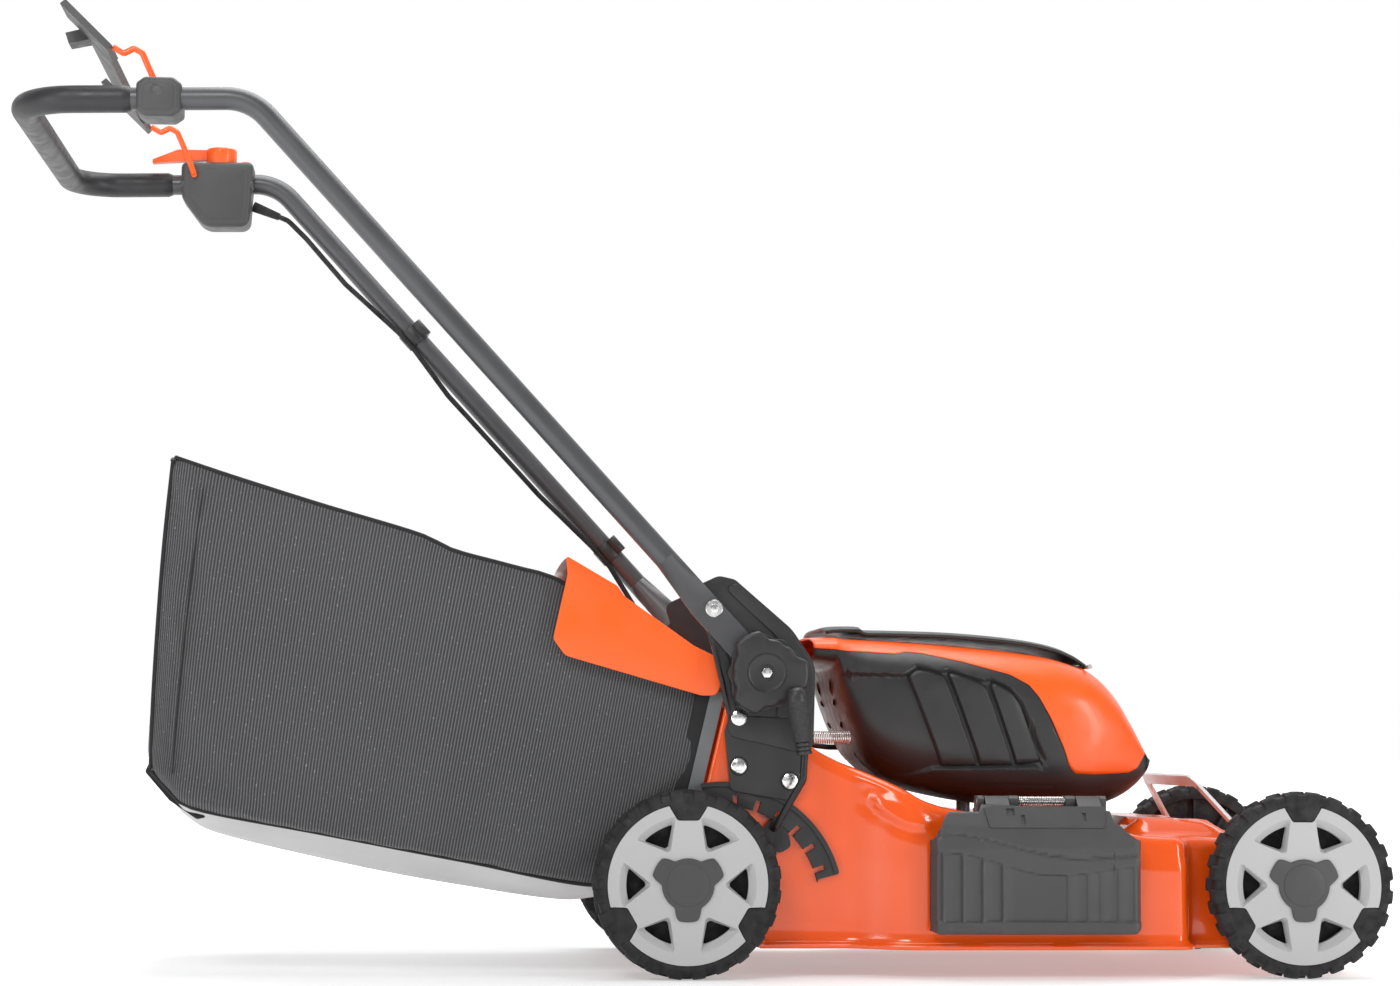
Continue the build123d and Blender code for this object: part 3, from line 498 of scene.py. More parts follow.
class Shape:
    """A mesh in the making, in millimetres."""

    def __init__(self):
        self.points = []
        self.faces = []

    def rings(self, rings, closed=True, ends=True):
        """A skin through rings of points, each with the same number of points."""
        start, size = len(self.points), len(rings[0])
        for ring in rings:
            self.points += [tuple(point) for point in ring]
        for row in range(len(rings) - 1):
            for column in range(size if closed else size - 1):
                after = (column + 1) % size
                low, high = start + row * size, start + (row + 1) * size
                self.faces.append((low + column, low + after, high + after, high + column))
        if ends:
            self.faces.append(tuple(range(start + size - 1, start - 1, -1)))
            last = start + (len(rings) - 1) * size
            self.faces.append(tuple(range(last, last + size)))
        return self

    def plate(self, outline, y_in, y_out, edge=1.0, steps=4):
        """A flat piece with a side outline and rounded edges, between two distances from the centre plane."""
        way = 1 if y_out > y_in else -1
        rings = []
        for place, turn in (*((y_in, s) for s in range(steps + 1)),
                            *((y_out, s) for s in range(steps, -1, -1))):
            angle = math.pi / 2 * turn / steps
            lift = edge * (1 - math.sin(angle))
            depth = edge * (1 - math.cos(angle))
            y = place + way * depth if place == y_in else place - way * depth
            rings.append(placed(inset(outline, lift), y))
        return self.rings(rings)

    def sweep(self, path, radius, sides=14, ends=True):
        """A round bar along a path; radius is a number or one for each point."""
        path = [Vector(point) for point in path]
        radii = radius if hasattr(radius, "__len__") else [radius] * len(path)
        heading = (path[1] - path[0]).normalized()
        across = heading.orthogonal().normalized()
        rings = []
        for place, here in enumerate(path):
            ahead = (path[min(place + 1, len(path) - 1)] - path[max(place - 1, 0)]).normalized()
            across = (across - ahead * across.dot(ahead)).normalized()
            third = ahead.cross(across)
            angles = [math.tau * side / sides for side in range(sides)]
            rings.append([here + (across * math.cos(a) + third * math.sin(a)) * radii[place] for a in angles])
        return self.rings(rings, ends=ends)

    def turned(self, profile, centre, sides=72, ends=False):
        """A round piece about a line across the mower, from pairs of radius and y."""
        angles = [math.tau * side / sides for side in range(sides)]
        rings = [[(centre[0] + r * math.cos(a), y, centre[1] + r * math.sin(a)) for a in angles] for r,
                 y in profile]
        return self.rings(rings, ends=ends)

    def mirrored(self):
        """The same shape on the mower's other side."""
        other = Shape()
        other.points = [(x, -y, z) for x, y, z in self.points]
        other.faces = [tuple(reversed(face)) for face in self.faces]
        return other

    def join(self, other):
        start = len(self.points)
        self.points += other.points
        self.faces += [tuple(corner + start for corner in face) for face in other.faces]
        return self

    def make(self, name, body, slot, replaces=(), finish=None, angle=32, thick=0.0, bevel=0.0, weld=0.01):
        """The finished object, riding on a body, with its slot's finish or one of its own."""
        mesh = bpy.data.meshes.new(name)
        mesh.from_pydata([tuple(spot(*point)) for point in self.points], [], self.faces)
        work = bmesh.new()
        work.from_mesh(mesh)
        bmesh.ops.remove_doubles(work, verts=work.verts, dist=weld / 1000)
        bmesh.ops.dissolve_degenerate(work, edges=work.edges, dist=1e-6)
        bmesh.ops.recalc_face_normals(work, faces=work.faces)
        work.to_mesh(mesh)
        work.free()
        return dress(mesh, name, finish or FINISHES[slot], body, slot, replaces, angle, thick, bevel)


def dress(mesh, name, finish, body, slot, replaces, angle, thick, bevel):
    """Turns a mesh into a finished piece: shading, modifiers, material and body; slot is not used."""
    mesh.polygons.foreach_set("use_smooth", [True] * len(mesh.polygons))
    mesh.set_sharp_from_angle(angle=math.radians(angle))
    mesh.materials.append(finish.material)
    made = bpy.data.objects.new(name, mesh)
    scene.collection.objects.link(made)
    if thick:
        wall = made.modifiers.new("Wall", "SOLIDIFY")
        wall.thickness = thick / 1000
        wall.offset = -1
    if bevel:
        edges = made.modifiers.new("Edges", "BEVEL")
        edges.width = bevel / 1000
        edges.segments = 2
        edges.angle_limit = math.radians(40)
        edges.harden_normals = True
    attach(made, body)
    if replaces:
        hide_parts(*replaces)
    return made


def open_plate(outer, holes, y_front, y_back):
    """A flat face with holes, and the walls down from its outline, as a Shape."""
    shape = Shape()
    loops = [outer, *holes]
    flat = [Vector((point.x, point.y, 0)) for loop in loops for point in loop]
    triangles = geometry.tessellate_polygon([[Vector((p.x, p.y, 0)) for p in loop] for loop in loops])
    shape.points = placed(flat, y_front)
    shape.faces = [tuple(triangle) for triangle in triangles]
    shape.rings([placed(outer, y) for y in (y_front, y_back)], ends=False)
    return shape


# ---------------------------------------------------------------- wheels
BLOCKS = 24
RIM_RADIUS = 87.0
RIM_FACE = -259.0
RIM_BACK = -245.0
NOTCHES = (90, 210, 330)
HUB = (0, axle_height)


def tread_height(angle, y):
    """How far a tread block stands up at this angle and distance across, from 0 to 1."""
    row = 0.0 if y > -240.5 else 0.5
    pitch = math.tau / BLOCKS
    away = abs((angle / pitch - row + 0.5) % 1.0 - 0.5) * 2
    return 1 - ease(0.50, 0.64, away)


def make_tyre():
    """Right-hand tyre with two rows of staggered blocks that run over its shoulders."""
    shape = Shape()
    profile = [(86.0, -247), (86.3, -257), (88.0, -259.6), (91.5, -260.3), (95.0, -260.0), (98.3, -258.6),
               (100.4, -255.5),
               (101.0, -251), (101.0, -246), (101.0, -241.2), (101.0, -240.2), (101.0, -236), (101.0, -230),
               (100.4, -225.5), (98.3, -222.2), (95.0, -220.9), (91.0, -220.6), (86.0, -221.5), (85.0, -232)]
    steps = BLOCKS * 16
    rings = []
    for radius, y in profile:
        ring = []
        for step in range(steps):
            angle = math.tau * step / steps
            lift = tread_height(angle, y)
            crown = ease(90, 98, radius)
            gap = 1.0 if abs(y + 240.7) > 1.2 else 0.0
            out = radius + crown * (1.5 * lift * gap - 2.2 * (1 - lift * gap))
            side = ease(90, 95, radius) * (1 - ease(97, 100.5, radius)) * (1 - lift) * 1.3
            shifted = y + side if y < -240 else y - side
            ring.append((out * math.cos(angle), shifted, axle_height + out * math.sin(angle)))
        rings.append(ring)
    shape.rings(rings, ends=False)
    web = [(88, -237), (86, -236.5), (60, -236.5), (30, -237), (16, -238.5), (14, -256), (7, -256), (7, -221),
           (14, -221), (16, -226), (24, -231), (60, -232), (86, -232), (88, -231.5)]
    shape.turned(web, HUB, 96)
    for turn in NOTCHES:
        rib = rounded([(69.6, -11), (82, -19), (90, -21), (90, 21), (82, 19), (69.6, 11)], [5, 6, 0, 0, 6, 5],
                      step=0)
        shape.plate(turn_outline(rib, turn), -238, -259.6, 1.2)
    for turn in range(0, 360, 30):
        spoke = rounded([(16, -1.5), (84, -1.5), (84, 1.5), (16, 1.5)], 0.5, step=0)
        shape.plate(turn_outline(spoke, turn), -232.5, -224, 0.4)
    return shape


def turn_outline(outline, degrees):
    """A flat outline turned about the wheel centre and lifted to it."""
    c, s = math.cos(math.radians(degrees)), math.sin(math.radians(degrees))
    return [Vector((p.x * c - p.y * s, p.x * s + p.y * c + axle_height)) for p in outline]


def pocket(tip, outer, half_angle, corner):
    """The outline of one opening between two spokes."""
    arc = [math.radians(half_angle * (1 - step / 4)) for step in range(9)]
    points = [(tip, 0), *[(outer * math.cos(a), outer * math.sin(a)) for a in arc]]
    return rounded(points, [4.0, corner, *[400] * 7, corner], step=0, arc=5)


def make_rim():
    """Pale cover with six flat spokes, sloped pockets and three notches."""
    sweep = 24
    edge = []
    for notch in NOTCHES:
        start, stop = notch - 120 + 13.9, notch - 13.9
        for step in range(sweep + 1):
            edge.append(polar(RIM_RADIUS, start + (stop - start) * step / sweep, HUB))
        cut = rounded([(87, -21), (82, -19.6), (69, -11.6), (69, 11.6), (82, 19.6), (87, 21)],
                      [0, 6, 5, 5, 6, 0],
                      closed=False, step=0)
        edge += turn_outline(cut[1:-1], notch)
    mouths = [turn_outline(pocket(38.5, 74.5, 19.4, 3.5), 60 * place) for place in range(6)]
    floors = [turn_outline(pocket(43.5, 66.5, 15.5, 3.0), 60 * place) for place in range(6)]
    shape = open_plate(edge, mouths, RIM_FACE, RIM_BACK)
    for mouth, floor in zip(mouths, floors):
        loops = ((mouth, RIM_FACE), (floor, -251.5), (floor, RIM_BACK))
        shape.rings([placed(loop, y) for loop, y in loops], ends=False)
    return shape


def make_cap():
    """Three-lobed hub cap with a raised middle."""
    outline = []
    for degrees in np.arange(0, 360, 2.5):
        lobe = 1 - ease(13, 33, lobe_distance(degrees, (30, 150, 270)))
        outline.append(polar(28.5 + 11.5 * lobe, degrees, HUB))
    shape = Shape().plate(outline, -257.5, -261.6, 1.3)
    dome = [(23.6, -260.5), (23.0, -262.2), (21.6, -262.8), (12, -262.95), (0.1, -263.0)]
    return shape.join(Shape().turned(dome, HUB, 72))


def place_wheels():
    makers = (("tyre", make_tyre(), "tyre_black", 0.0), ("rim", make_rim(), "rim_grey", 0.9),
              ("hub_cap", make_cap(), "grey_plastic", 0.0))
    for kind, shape, slot, bevel in makers:
        for hand in ("right", "left"):
            sided = shape if hand == "right" else shape.mirrored()
            for end, advance in (("rear", 0.0), ("front", wheelbase)):
                moved = Shape()
                moved.points = [(x + advance, y, z) for x, y, z in sided.points]
                moved.faces = sided.faces
                moved.make(f"{end}_{hand}_{kind}_look", f"{end}_{hand}_wheel", slot,
                           [f"{end}_{hand}_{kind}"], bevel=bevel, angle=28)


place_wheels()

# ---------------------------------------------------------------- deck
DECK_WAIST = 203.0
DECK_HALF = 236.0
DECK_TOP = [(0, 316), (47, 312), (85, 307), (112, 283), (140, 251), (170, 236), (205, 220), (240, 203),
            (275, 188),
            (310, 181), (345, 178), (400, 175), (457, 170), (480, 161), (507, 154), (600, 151), (700,
                                                                                                 142), (745,
                                                                                                        128)]
SHOULDER = 11.0
MOUTH_SLOPE = 48.2 / 207


def deck_top(x):
    """The height of the deck's top edge, smoothed along its length."""
    xs, zs = zip(*DECK_TOP)
    return float(np.mean(np.interp(x + np.linspace(-14, 14, 9), xs, zs)))


def deck_foot(x):
    return 60.0 - 27.0 * ease(64, 82, x)


def deck_half(x):
    return DECK_WAIST + (DECK_HALF - DECK_WAIST) * ease(172, 256, x)


def deck_route():
    """The deck's outline from above, from the rear right corner round the nose to the rear left one."""
    side = [(x, -deck_half(x)) for x in range(0, 300, 6)] + [(300, -DECK_HALF)]
    corners = [side[-1], (556, -DECK_HALF), (560, -DECK_WAIST), (745, -DECK_WAIST), (745, DECK_WAIST),
               (560, DECK_WAIST), (556, DECK_HALF), (300, DECK_HALF)]
    nose = rounded(corners, [0, 15, 10, 55, 55, 10, 15, 0], closed=False, step=5.0, arc=9)
    return [Vector(p) for p in side[:-1]] + nose + [Vector((x, -y)) for x, y in reversed(side[:-1])]


def deck_bead(x, z):
    """The raised oval bead pressed into the side below the shoulder."""
    along, up = x - 238, z - 181
    turned, lifted = along * 0.90 - up * 0.43, along * 0.43 + up * 0.90
    away = math.hypot(turned / 40, lifted / 15)
    return 3.2 * (1 - ease(0.55, 1.0, away)) - 1.2 * (1 - ease(0.1, 0.35, abs(away - 1.15)))


def crown(x, y):
    """Extra height of the deck's top: the stepped nose with its pockets, and the flat under the motor."""
    wide = abs(y)
    nose = ease(500, 520, x) * (1 - ease(585, 640, x)) * (1 - ease(150, 188, wide)) * 20
    pit = ease(516, 524, x) * (1 - ease(556, 566, x)) * ease(96, 106, wide) * (1 - ease(136, 150, wide)) * 26
    rib = ease(596, 604, x) * (1 - ease(690, 700, x)) * ease(60, 66, wide) * (1 - ease(110, 116, wide)) * 8
    low = ease(250, 300, x) * (1 - ease(440, 480, x)) * (1 - ease(120, 170, wide)) * 4
    return nose - pit + rib - low


def make_deck():
    """The deck's side wall with its rolled lip, oval bead and discharge opening, and its top."""
    route = deck_route()
    count = len(route)
    outward = []
    for place, here in enumerate(route):
        ahead = (route[min(place + 1, count - 1)] - route[max(place - 1, 0)]).normalized()
        outward.append(Vector((ahead.y, -ahead.x)))
    lip = [(3.0, 31.6), (6.4, 31.0), (8.0, 32.4), (8.0, 34.6), (6.4, 36.4), (3.2, 37.6), (0.9, 40.5),
           (0.0, 45.0)]
    rows = 30
    columns = []
    for here, out in zip(route, outward):
        x, top, foot = here.x, deck_top(here.x), deck_foot(here.x)
        column = [(here + out * grow, foot - 33 + z) for grow, z in lip]
        for row in range(1, rows + 1):
            z = foot + 12 + (top - SHOULDER - foot - 12) * row / rows
            raised = deck_bead(x, z) if abs(here.y) > 210 else 0.0
            tuck = -5.0 * ease(210, 236, abs(here.y)) * ease(0.75, 1.0, row / rows)
            column.append((here + out * (raised + tuck), z))
        base = -5.0 * ease(210, 236, abs(here.y))
        for turn in (18, 36, 54, 72, 90):
            a = math.radians(turn)
            column.append((here + out * (base - SHOULDER * (1 - math.cos(a))),
                           top - SHOULDER + SHOULDER * math.sin(a)))
        columns.append([mouth_shift(p.x, p.y, z, here.x) for p, z in column])
    height = len(columns[0])
    window = ((302, 468), (64, 148))
    shape = Shape()
    for column in columns:
        shape.points += column
    for place in range(count - 1):
        for row in range(height - 1):
            corners = [place * height + row, (place + 1) * height + row, (place + 1) * height + row + 1,
                       place * height + row + 1]
            x, y, z = (sum(shape.points[c][axis] for c in corners) / 4 for axis in range(3))
            if y < -225 and window[0][0] < x < window[0][1] and window[1][0] < z < window[1][1]:
                continue
            shape.faces.append(tuple(corners))
    rim = [Vector((column[-1][0], column[-1][1])) for column in columns]
    shape.join(top_skin(rim, [column[-1][2] for column in columns]))
    return shape


def mouth_shift(x, y, z, along):
    """Slants the deck's rear end to the sloping mouth of its discharge tunnel."""
    slant = (max(z, 105) - 105) * MOUTH_SLOPE * (1 - ease(0, 90, along))
    return (x + slant, y, z)


def top_skin(rim, heights):
    """The deck's top: a fine net inside its shoulder, lifted to the crown, open over the motor shaft."""
    inside = []
    for x in range(60, 740, 9):
        for y in range(-225, 226, 9):
            point = Vector((x, y))
            wide = abs(y)
            if wide < deck_half(x) - 24 and x < 725 and (x < 690 or wide < 160) and (x < 545 or wide < 182):
                inside.append(point)
    loop = [(place, (place + 1) % len(rim)) for place in range(len(rim))]
    points, _, faces, *_ = geometry.delaunay_2d_cdt([*rim, *inside], loop, [], 1, 1e-5)
    skin = Shape()
    for place, point in enumerate(points):
        if place < len(rim):
            z = heights[place]
        else:
            blend = ease(0, 26, deck_half(point.x) - 12 - abs(point.y))
            z = deck_top(point.x) + crown(point.x, point.y) * blend
        skin.points.append((point.x, point.y, z))
    for face in faces:
        x, y = (sum(skin.points[c][axis] for c in face) / 3 for axis in range(2))
        if math.hypot(x - 345, y) > 22:
            skin.faces.append(tuple(face))
    return skin


make_deck().make("deck_shell", "chassis", "deck_orange", ["deck"], angle=40, thick=2.2,
                 weld=0.05)

# ---------------------------------------------------------------- motor housing
HOOD_TOP = flowing([(150, 377), (211, 379.5), (302, 375), (380, 368), (430, 360), (473, 345), (500, 322),
                    (520, 290),
                    (536, 256), (542, 240)], 120)
HOOD_FOOT = flowing([(150, 345), (168, 343), (177, 338), (184, 306), (196, 270), (212, 238), (240, 215),
                     (275, 202),
                     (345, 188), (420, 182), (465, 182), (500, 188), (524, 201), (538, 219), (542, 236)], 150)
COVER_LINE = [(100, 363), (150, 363), (198, 360), (243, 357.5), (256, 360), (274, 358.5), (320, 349),
              (373, 335),
              (394, 323), (405, 309), (419, 283), (434, 249), (440, 230), (447, 223), (470, 222), (512, 224),
              (524, 229), (533, 243), (545, 262), (600, 330)]
HOOD_BULGE = 3.4
LID_HALF = 106.0
RECESS = 7.5
RECESS_LINE = [Vector(p) for p in (
    (90, 339), (200, 335), (253, 334), (268, 344), (297, 338), (303, 341), (341, 328), (352, 330), (373, 320),
    (387, 302), (398, 275), (412, 240), (406, 230), (286, 227), (262, 219), (90, 219))]


def hood_width(x):
    """Half the hood's width: a little narrower at the rear and drawn in to the nose."""
    return 163 - 20 * (1 - ease(130, 250, x)) - 48 * (max(0.0, x - 400) / 145) ** 2.2


def hood_span(x):
    """The hood's foot and top heights at a station."""
    foot = float(np.interp(x, HOOD_FOOT[:, 0], HOOD_FOOT[:, 1]))
    top = float(np.interp(x, HOOD_TOP[:, 0], HOOD_TOP[:, 1]))
    return foot, max(top, foot + 1.5)


def hood_reach(x, z):
    """How far the hood's side stands out at a point of its side view."""
    foot, top = hood_span(x)
    height = min(1.0, abs(2 * (z - foot) / (top - foot) - 1))
    return hood_width(x) * (1 - height**HOOD_BULGE) ** (1 / HOOD_BULGE)


def hood_ring(x, start, stop, count, shrink=0.0):
    """Points up or down the hood's section between two angles; -90 degrees is its foot and 90 its top."""
    foot, top = hood_span(x)
    ring = []
    for angle in np.linspace(start, stop, count):
        height = math.copysign(abs(math.sin(angle)) ** (2 / HOOD_BULGE), math.sin(angle))
        wide = abs(math.cos(angle)) ** (2 / HOOD_BULGE)
        ring.append((x, -(hood_width(x) - shrink) * wide, foot + (top - foot) * (1 + height) / 2))
    return ring


def inside(here, outline):
    """Whether a point lies within a closed outline."""
    crossings = 0
    for a, b in zip(outline, outline[1:] + outline[:1]):
        if (a.y > here.y) != (b.y > here.y) and here.x < (b.x - a.x) * (here.y - a.y) / (b.y - a.y) + a.x:
            crossings += 1
    return crossings % 2 == 1


def edge_distance(x, z, outline):
    """Distance inside an outline, negative outside it."""
    here = Vector((x, z))
    nearest = min(
        (here - a.lerp(b, min(max((here - a).dot(b - a) / (b - a).length_squared, 0), 1))).length
        for a, b in zip(outline, outline[1:] + outline[:1])
    )
    return nearest if inside(here, outline) else -nearest


def hood_stations():
    """Where along the hood its sections are taken."""
    every = sorted([*HOOD_FOOT[:, 0], *HOOD_TOP[:, 0]])
    kept = [every[0]]
    for x in every:
        if x - kept[-1] > 0.7:
            kept.append(float(x))
    return [x for x in kept if x < 541.5]


def mirrored_ring(half):
    return half + [(x, -y, z) for x, y, z in reversed(half[:-1])]


def make_hood():
    """The orange cover and the black base, sharing one section and split along the seam."""
    cover, base = [], []
    for x in hood_stations():
        foot, top = hood_span(x)
        share = min(max((float(np.interp(x, *zip(*COVER_LINE))) - foot) / (top - foot), 0.03), 0.97)
        seam = math.asin(math.copysign(abs(2 * share - 1) ** (HOOD_BULGE / 2), 2 * share - 1))
        wide = hood_width(x)
        edge = math.acos(min(1.0, (LID_HALF / wide) ** (HOOD_BULGE / 2))) if wide > LID_HALF else 0.0
        edge = max(edge, seam + 0.05)
        cover.append(mirrored_ring(hood_ring(x, seam, edge, 26) + hood_ring(x, edge, math.pi / 2, 14)[1:]))
        wall = []
        for _, y, z in hood_ring(x, seam, -math.pi / 2, 100, shrink=1.4):
            dip = RECESS * ease(-1.5, 4.5, edge_distance(x, z, RECESS_LINE)) if y < -60 and z > 215 else 0.0
            line = 0.8 * (1 - ease(0.4, 1.6, abs(z - 211 + 0.02 * (x - 300)))) if 240 < x < 425 else 0.0
            wall.append((x, min(y + dip + line, 0.0), z))
        base.append(mirrored_ring(wall))
    roof = Shape().rings(cover, closed=False, ends=False)
    size = len(cover[0])
    roof.faces = [face for face in roof.faces if not (
        182 < sum(roof.points[c][0] for c in face) / 4 < 466
        and 25 <= min(c % size for c in face) < size - 26)]
    return roof, Shape().rings(base, closed=False, ends=False)


def make_slat(crest, foot_left, foot_right):
    """One louvre panel: proud along its rear edge, sinking towards the next slit, scalloped on top."""
    columns = []
    tops = flowing(crest, 24)
    for place, (top_x, top_z) in enumerate(tops):
        share = place / 23
        low = Vector(foot_left).lerp(Vector(foot_right), share)
        column = []
        for down in np.linspace(0, 1, 40):
            x, z = top_x + (low.x - top_x) * down, top_z + (low.y - top_z) * down
            ends = ease(0, 0.05, down) * ease(1, 0.96, down)
            proud = 1.2 + 5.4 * ease(0, 0.08, share) * (1 - 0.78 * share) * ends
            column.append((x, -hood_reach(x, z) + 1.4 + RECESS - proud, z))
        columns.append(column)
    return Shape().rings(columns, closed=False, ends=False)


roof, shell = make_hood()
roof.make("hood_cover", "chassis", "cover_orange", ["top_cover"], angle=45, thick=2.4)
shell.make("hood_base", "chassis", "dark_plastic", ["motor_base"], angle=38, thick=2.0)
slats = Shape()
for crest, left, right in (
    ([(255.5, 331), (259, 337), (268, 341.5), (283, 339), (297.5, 333)], (294, 231), (334.5, 231)),
    ([(302.5, 332), (305, 337.5), (320, 334), (334, 328.5), (345, 321)], (338, 231.5), (375.5, 232)),
    ([(349.5, 320), (353, 326.5), (363, 322.5), (373, 316), (383, 302)], (379, 232.5), (406, 236)),
):
    slats.join(make_slat(crest, left, right))
slats.join(slats.mirrored())
slats.make("hood_louvres", "chassis", "dark_plastic", ["louvre_panels"], angle=38, thick=1.4)


def make_lid():
    """Dark lid on the hood: follows its top, lifts to a finger edge at the rear and tapers forward."""
    crest = flowing([(168, 388.6), (178, 390.6), (207, 390.8), (214, 387.2), (240, 386.8), (311, 385),
                     (380, 379.5),
                     (430, 371.5), (458, 362), (476, 351)], 70)
    rings = []
    for x, z in crest:
        half = 108 - 20 * ease(400, 478, x)
        row = []
        for step in range(-24, 25):
            y = half * step / 24
            drop = 5.5 * abs(step / 24) ** 5
            groove = 0.9 * (1 - ease(1.0, 2.4, abs(abs(y) - half * 0.82))) * ease(216, 222, x)
            dish = 2.2 * ease(216, 240, x) * (1 - ease(380, 440, x)) * (1 - ease(0.62, 0.74, abs(step / 24)))
            row.append((x, y, z - drop - groove - dish))
        rings.append(row)
    return Shape().rings(rings, closed=False, ends=False)


make_lid().make("lid_shell", "lid", "dark_plastic", ["battery_lid"], angle=40, thick=3.6)


# ---------------------------------------------------------------- side discharge cover
COVER_REAR, COVER_FRONT, COVER_FOOT = 266, 500, 49
COVER_RIBS = (278, 300, 322, 344, 417, 439, 453, 473, 491)
COVER_PROFILE = ([49, 143, 166, 187, 193.5], [-262, -262, -257, -243, -233])


def cover_crest(x):
    """The top edge of the side cover."""
    left = 151 + 31 * ease(266, 288, x)
    hinge = ease(320, 324, x) * (1 - ease(464, 468, x))
    right = 31 * ease(440, 500, x) ** 1.5
    return left * (1 - hinge) + (190 - 0.05 * (x - 330)) * hinge - right * (1 - hinge) * ease(466, 468, x)


def cover_skin(x, z):
    """How far out the side cover's face lies, with its ribs, creases and bottom lip."""
    y = float(np.interp(z, *COVER_PROFILE))
    crease = 157.8 - 26 * ease(278, 430, x) + 3 * ease(440, 500, x)
    brow = 137 - 24 * ease(285, 400, x) + 9 * ease(410, 492, x)
    fold = 1.8 * (1 - ease(0.4, 2.6, abs(z - crease)))
    field = ease(-1.5, 1.5, brow - z) * ease(-1.0, 1.0, z - 63)
    ribs = 0.0
    for place in COVER_RIBS:
        away = x - place
        ribs = max(ribs, 1 - ease(0.5, 1.6, abs(away)), 0.55 * ease(14, 0, away) if 0 < away < 14 else 0.0)
    notch = 2.5 * ease(284, 292, x) * (1 - ease(338, 346, x)) * (1 - ease(55, 60, z))
    return y + fold + field * (3.2 - 3.0 * ribs) + notch


def make_side_cover():
    columns = []
    for step in range(118):
        x = COVER_REAR + (COVER_FRONT - COVER_REAR) * step / 117
        top = cover_crest(x)
        column = []
        for row in range(64):
            z = COVER_FOOT + (top - COVER_FOOT) * row / 63
            end = min(x - COVER_REAR, COVER_FRONT - x)
            wrap = 15 * (1 - ease(0, 9, end)) ** 2
            foot = 4 * (1 - ease(0, 5, z - COVER_FOOT)) ** 2
            corner = max(0.0, 9 - end) * max(0.0, 9 - (z - COVER_FOOT)) / 9
            column.append((x, cover_skin(x, z) + wrap + foot, z + 0.4 * corner))
        columns.append(column)
    shape = Shape().rings(columns, closed=False, ends=False)
    return shape


make_side_cover().make("side_cover_shell", "discharge_cover", "grey_plastic", ["side_cover"],
                       angle=35, thick=2.4)


def make_cover_hinge():
    """The hinge block on the cover: a sloping plate with three slots, and two sleeves around the pin."""
    corners = [(330, 0), (457, 0), (462, 23), (326, 23)]
    slots = [[(350, 13), (359, 13), (359, 20.5), (350, 20.5)],
             [(366, 3.5), (370, 3.5), (370, 13.5), (366, 13.5)],
             [(434, 7), (438, 7), (438, 16), (434, 16)]]
    plate = open_plate(rounded(corners, 3, step=5), [[Vector(p) for p in slot] for slot in slots], 0.0, 4.0)
    for slot in slots:
        plate.rings([placed(slot, y) for y in (0.0, 4.0)], ends=False)
    shape = Shape()
    shape.faces = plate.faces
    shape.points = [(x, -259 + 14 * (z / 23) + y, 165 + z - 0.4 * y) for x, y, z in plate.points]
    for low, high in ((330, 356), (432, 458)):
        sleeve = Shape().sweep([(x, -222, 193) for x in np.linspace(low, high, 8)], 6.0, 20)
        shape.join(sleeve)
        web = [(low, -241, 186), (high, -241, 186), (high, -224, 198.6), (low, -224, 198.6)]
        under = [(x, y + 1, z - 3) for x, y, z in web]
        shape.rings([web, under])
    return shape


make_cover_hinge().make("side_cover_knuckles", "discharge_cover", "grey_plastic", bevel=0.8)


# ---------------------------------------------------------------- rear flap
def make_flap():
    """Orange chute flap: two side wings, a sloping top with soft shoulders, and a lifted finger lip."""
    corners = [(-133, 461), (-131, 440), (-146.5, 369), (-133, 350.5), (19, 307), (35, 308), (45, 334),
               (41, 347),
               (9, 362.5), (-68, 416.5), (-76, 428)]
    wing = rounded(corners, [2, 22, 9, 13, 30, 8, 10, 8, 30, 14, 10], step=5)
    shape = Shape().plate(wing, -204.6, -207.6, 1.2)
    shape.join(shape.mirrored())
    crest = flowing([(43, 344.5), (30, 353), (9, 360.5), (-30, 387.5), (-66, 413), (-77, 425.5), (-104, 443),
                     (-133, 459)], 44)
    rings = []
    for x, z in crest:
        row = []
        for step in range(-30, 31):
            share = abs(step) / 30
            y = 205.2 * math.copysign(share, step) if step else 0.0
            bow = 3.0 * (1 - share**2) * ease(43, 0, x)
            rib = 2.0 * (1 - ease(1.5, 4, abs(abs(y) - 120))) * ease(20, 0, x) * (1 - ease(-60, -90, x))
            row.append((x, y, z - 1.2 + (bow + rib) * ease(1.0, 0.93, share)))
        rings.append(row)
    shape.join(Shape().rings(rings, closed=False, ends=False))
    return shape


make_flap().make("flap_shell", "flap", "cover_orange", ["rear_flap"], angle=40)


def make_knuckles():
    """Three hinge knuckles of the rear flap around its rod."""
    shape = Shape()
    for low, high in ((-204.4, -150), (-20, 20), (150, 204.4)):
        shape.turned([(3.1, low), (7.4, low), (7.4, high), (3.1, high), (3.1, low)], (42, 340), 28)
    return shape


make_knuckles().make("flap_knuckles", "flap", "cover_orange", bevel=0.5)


# ---------------------------------------------------------------- handle brackets and knobs
PIVOT = (86.9, 332.3)
BRACKET_BOLTS = ((58.8, 283), (59, 230.2), (115.7, 214))
KNOB_LOBES = (-2, 118, 238)
KNOB_TURNS = range(0, 360, 2)


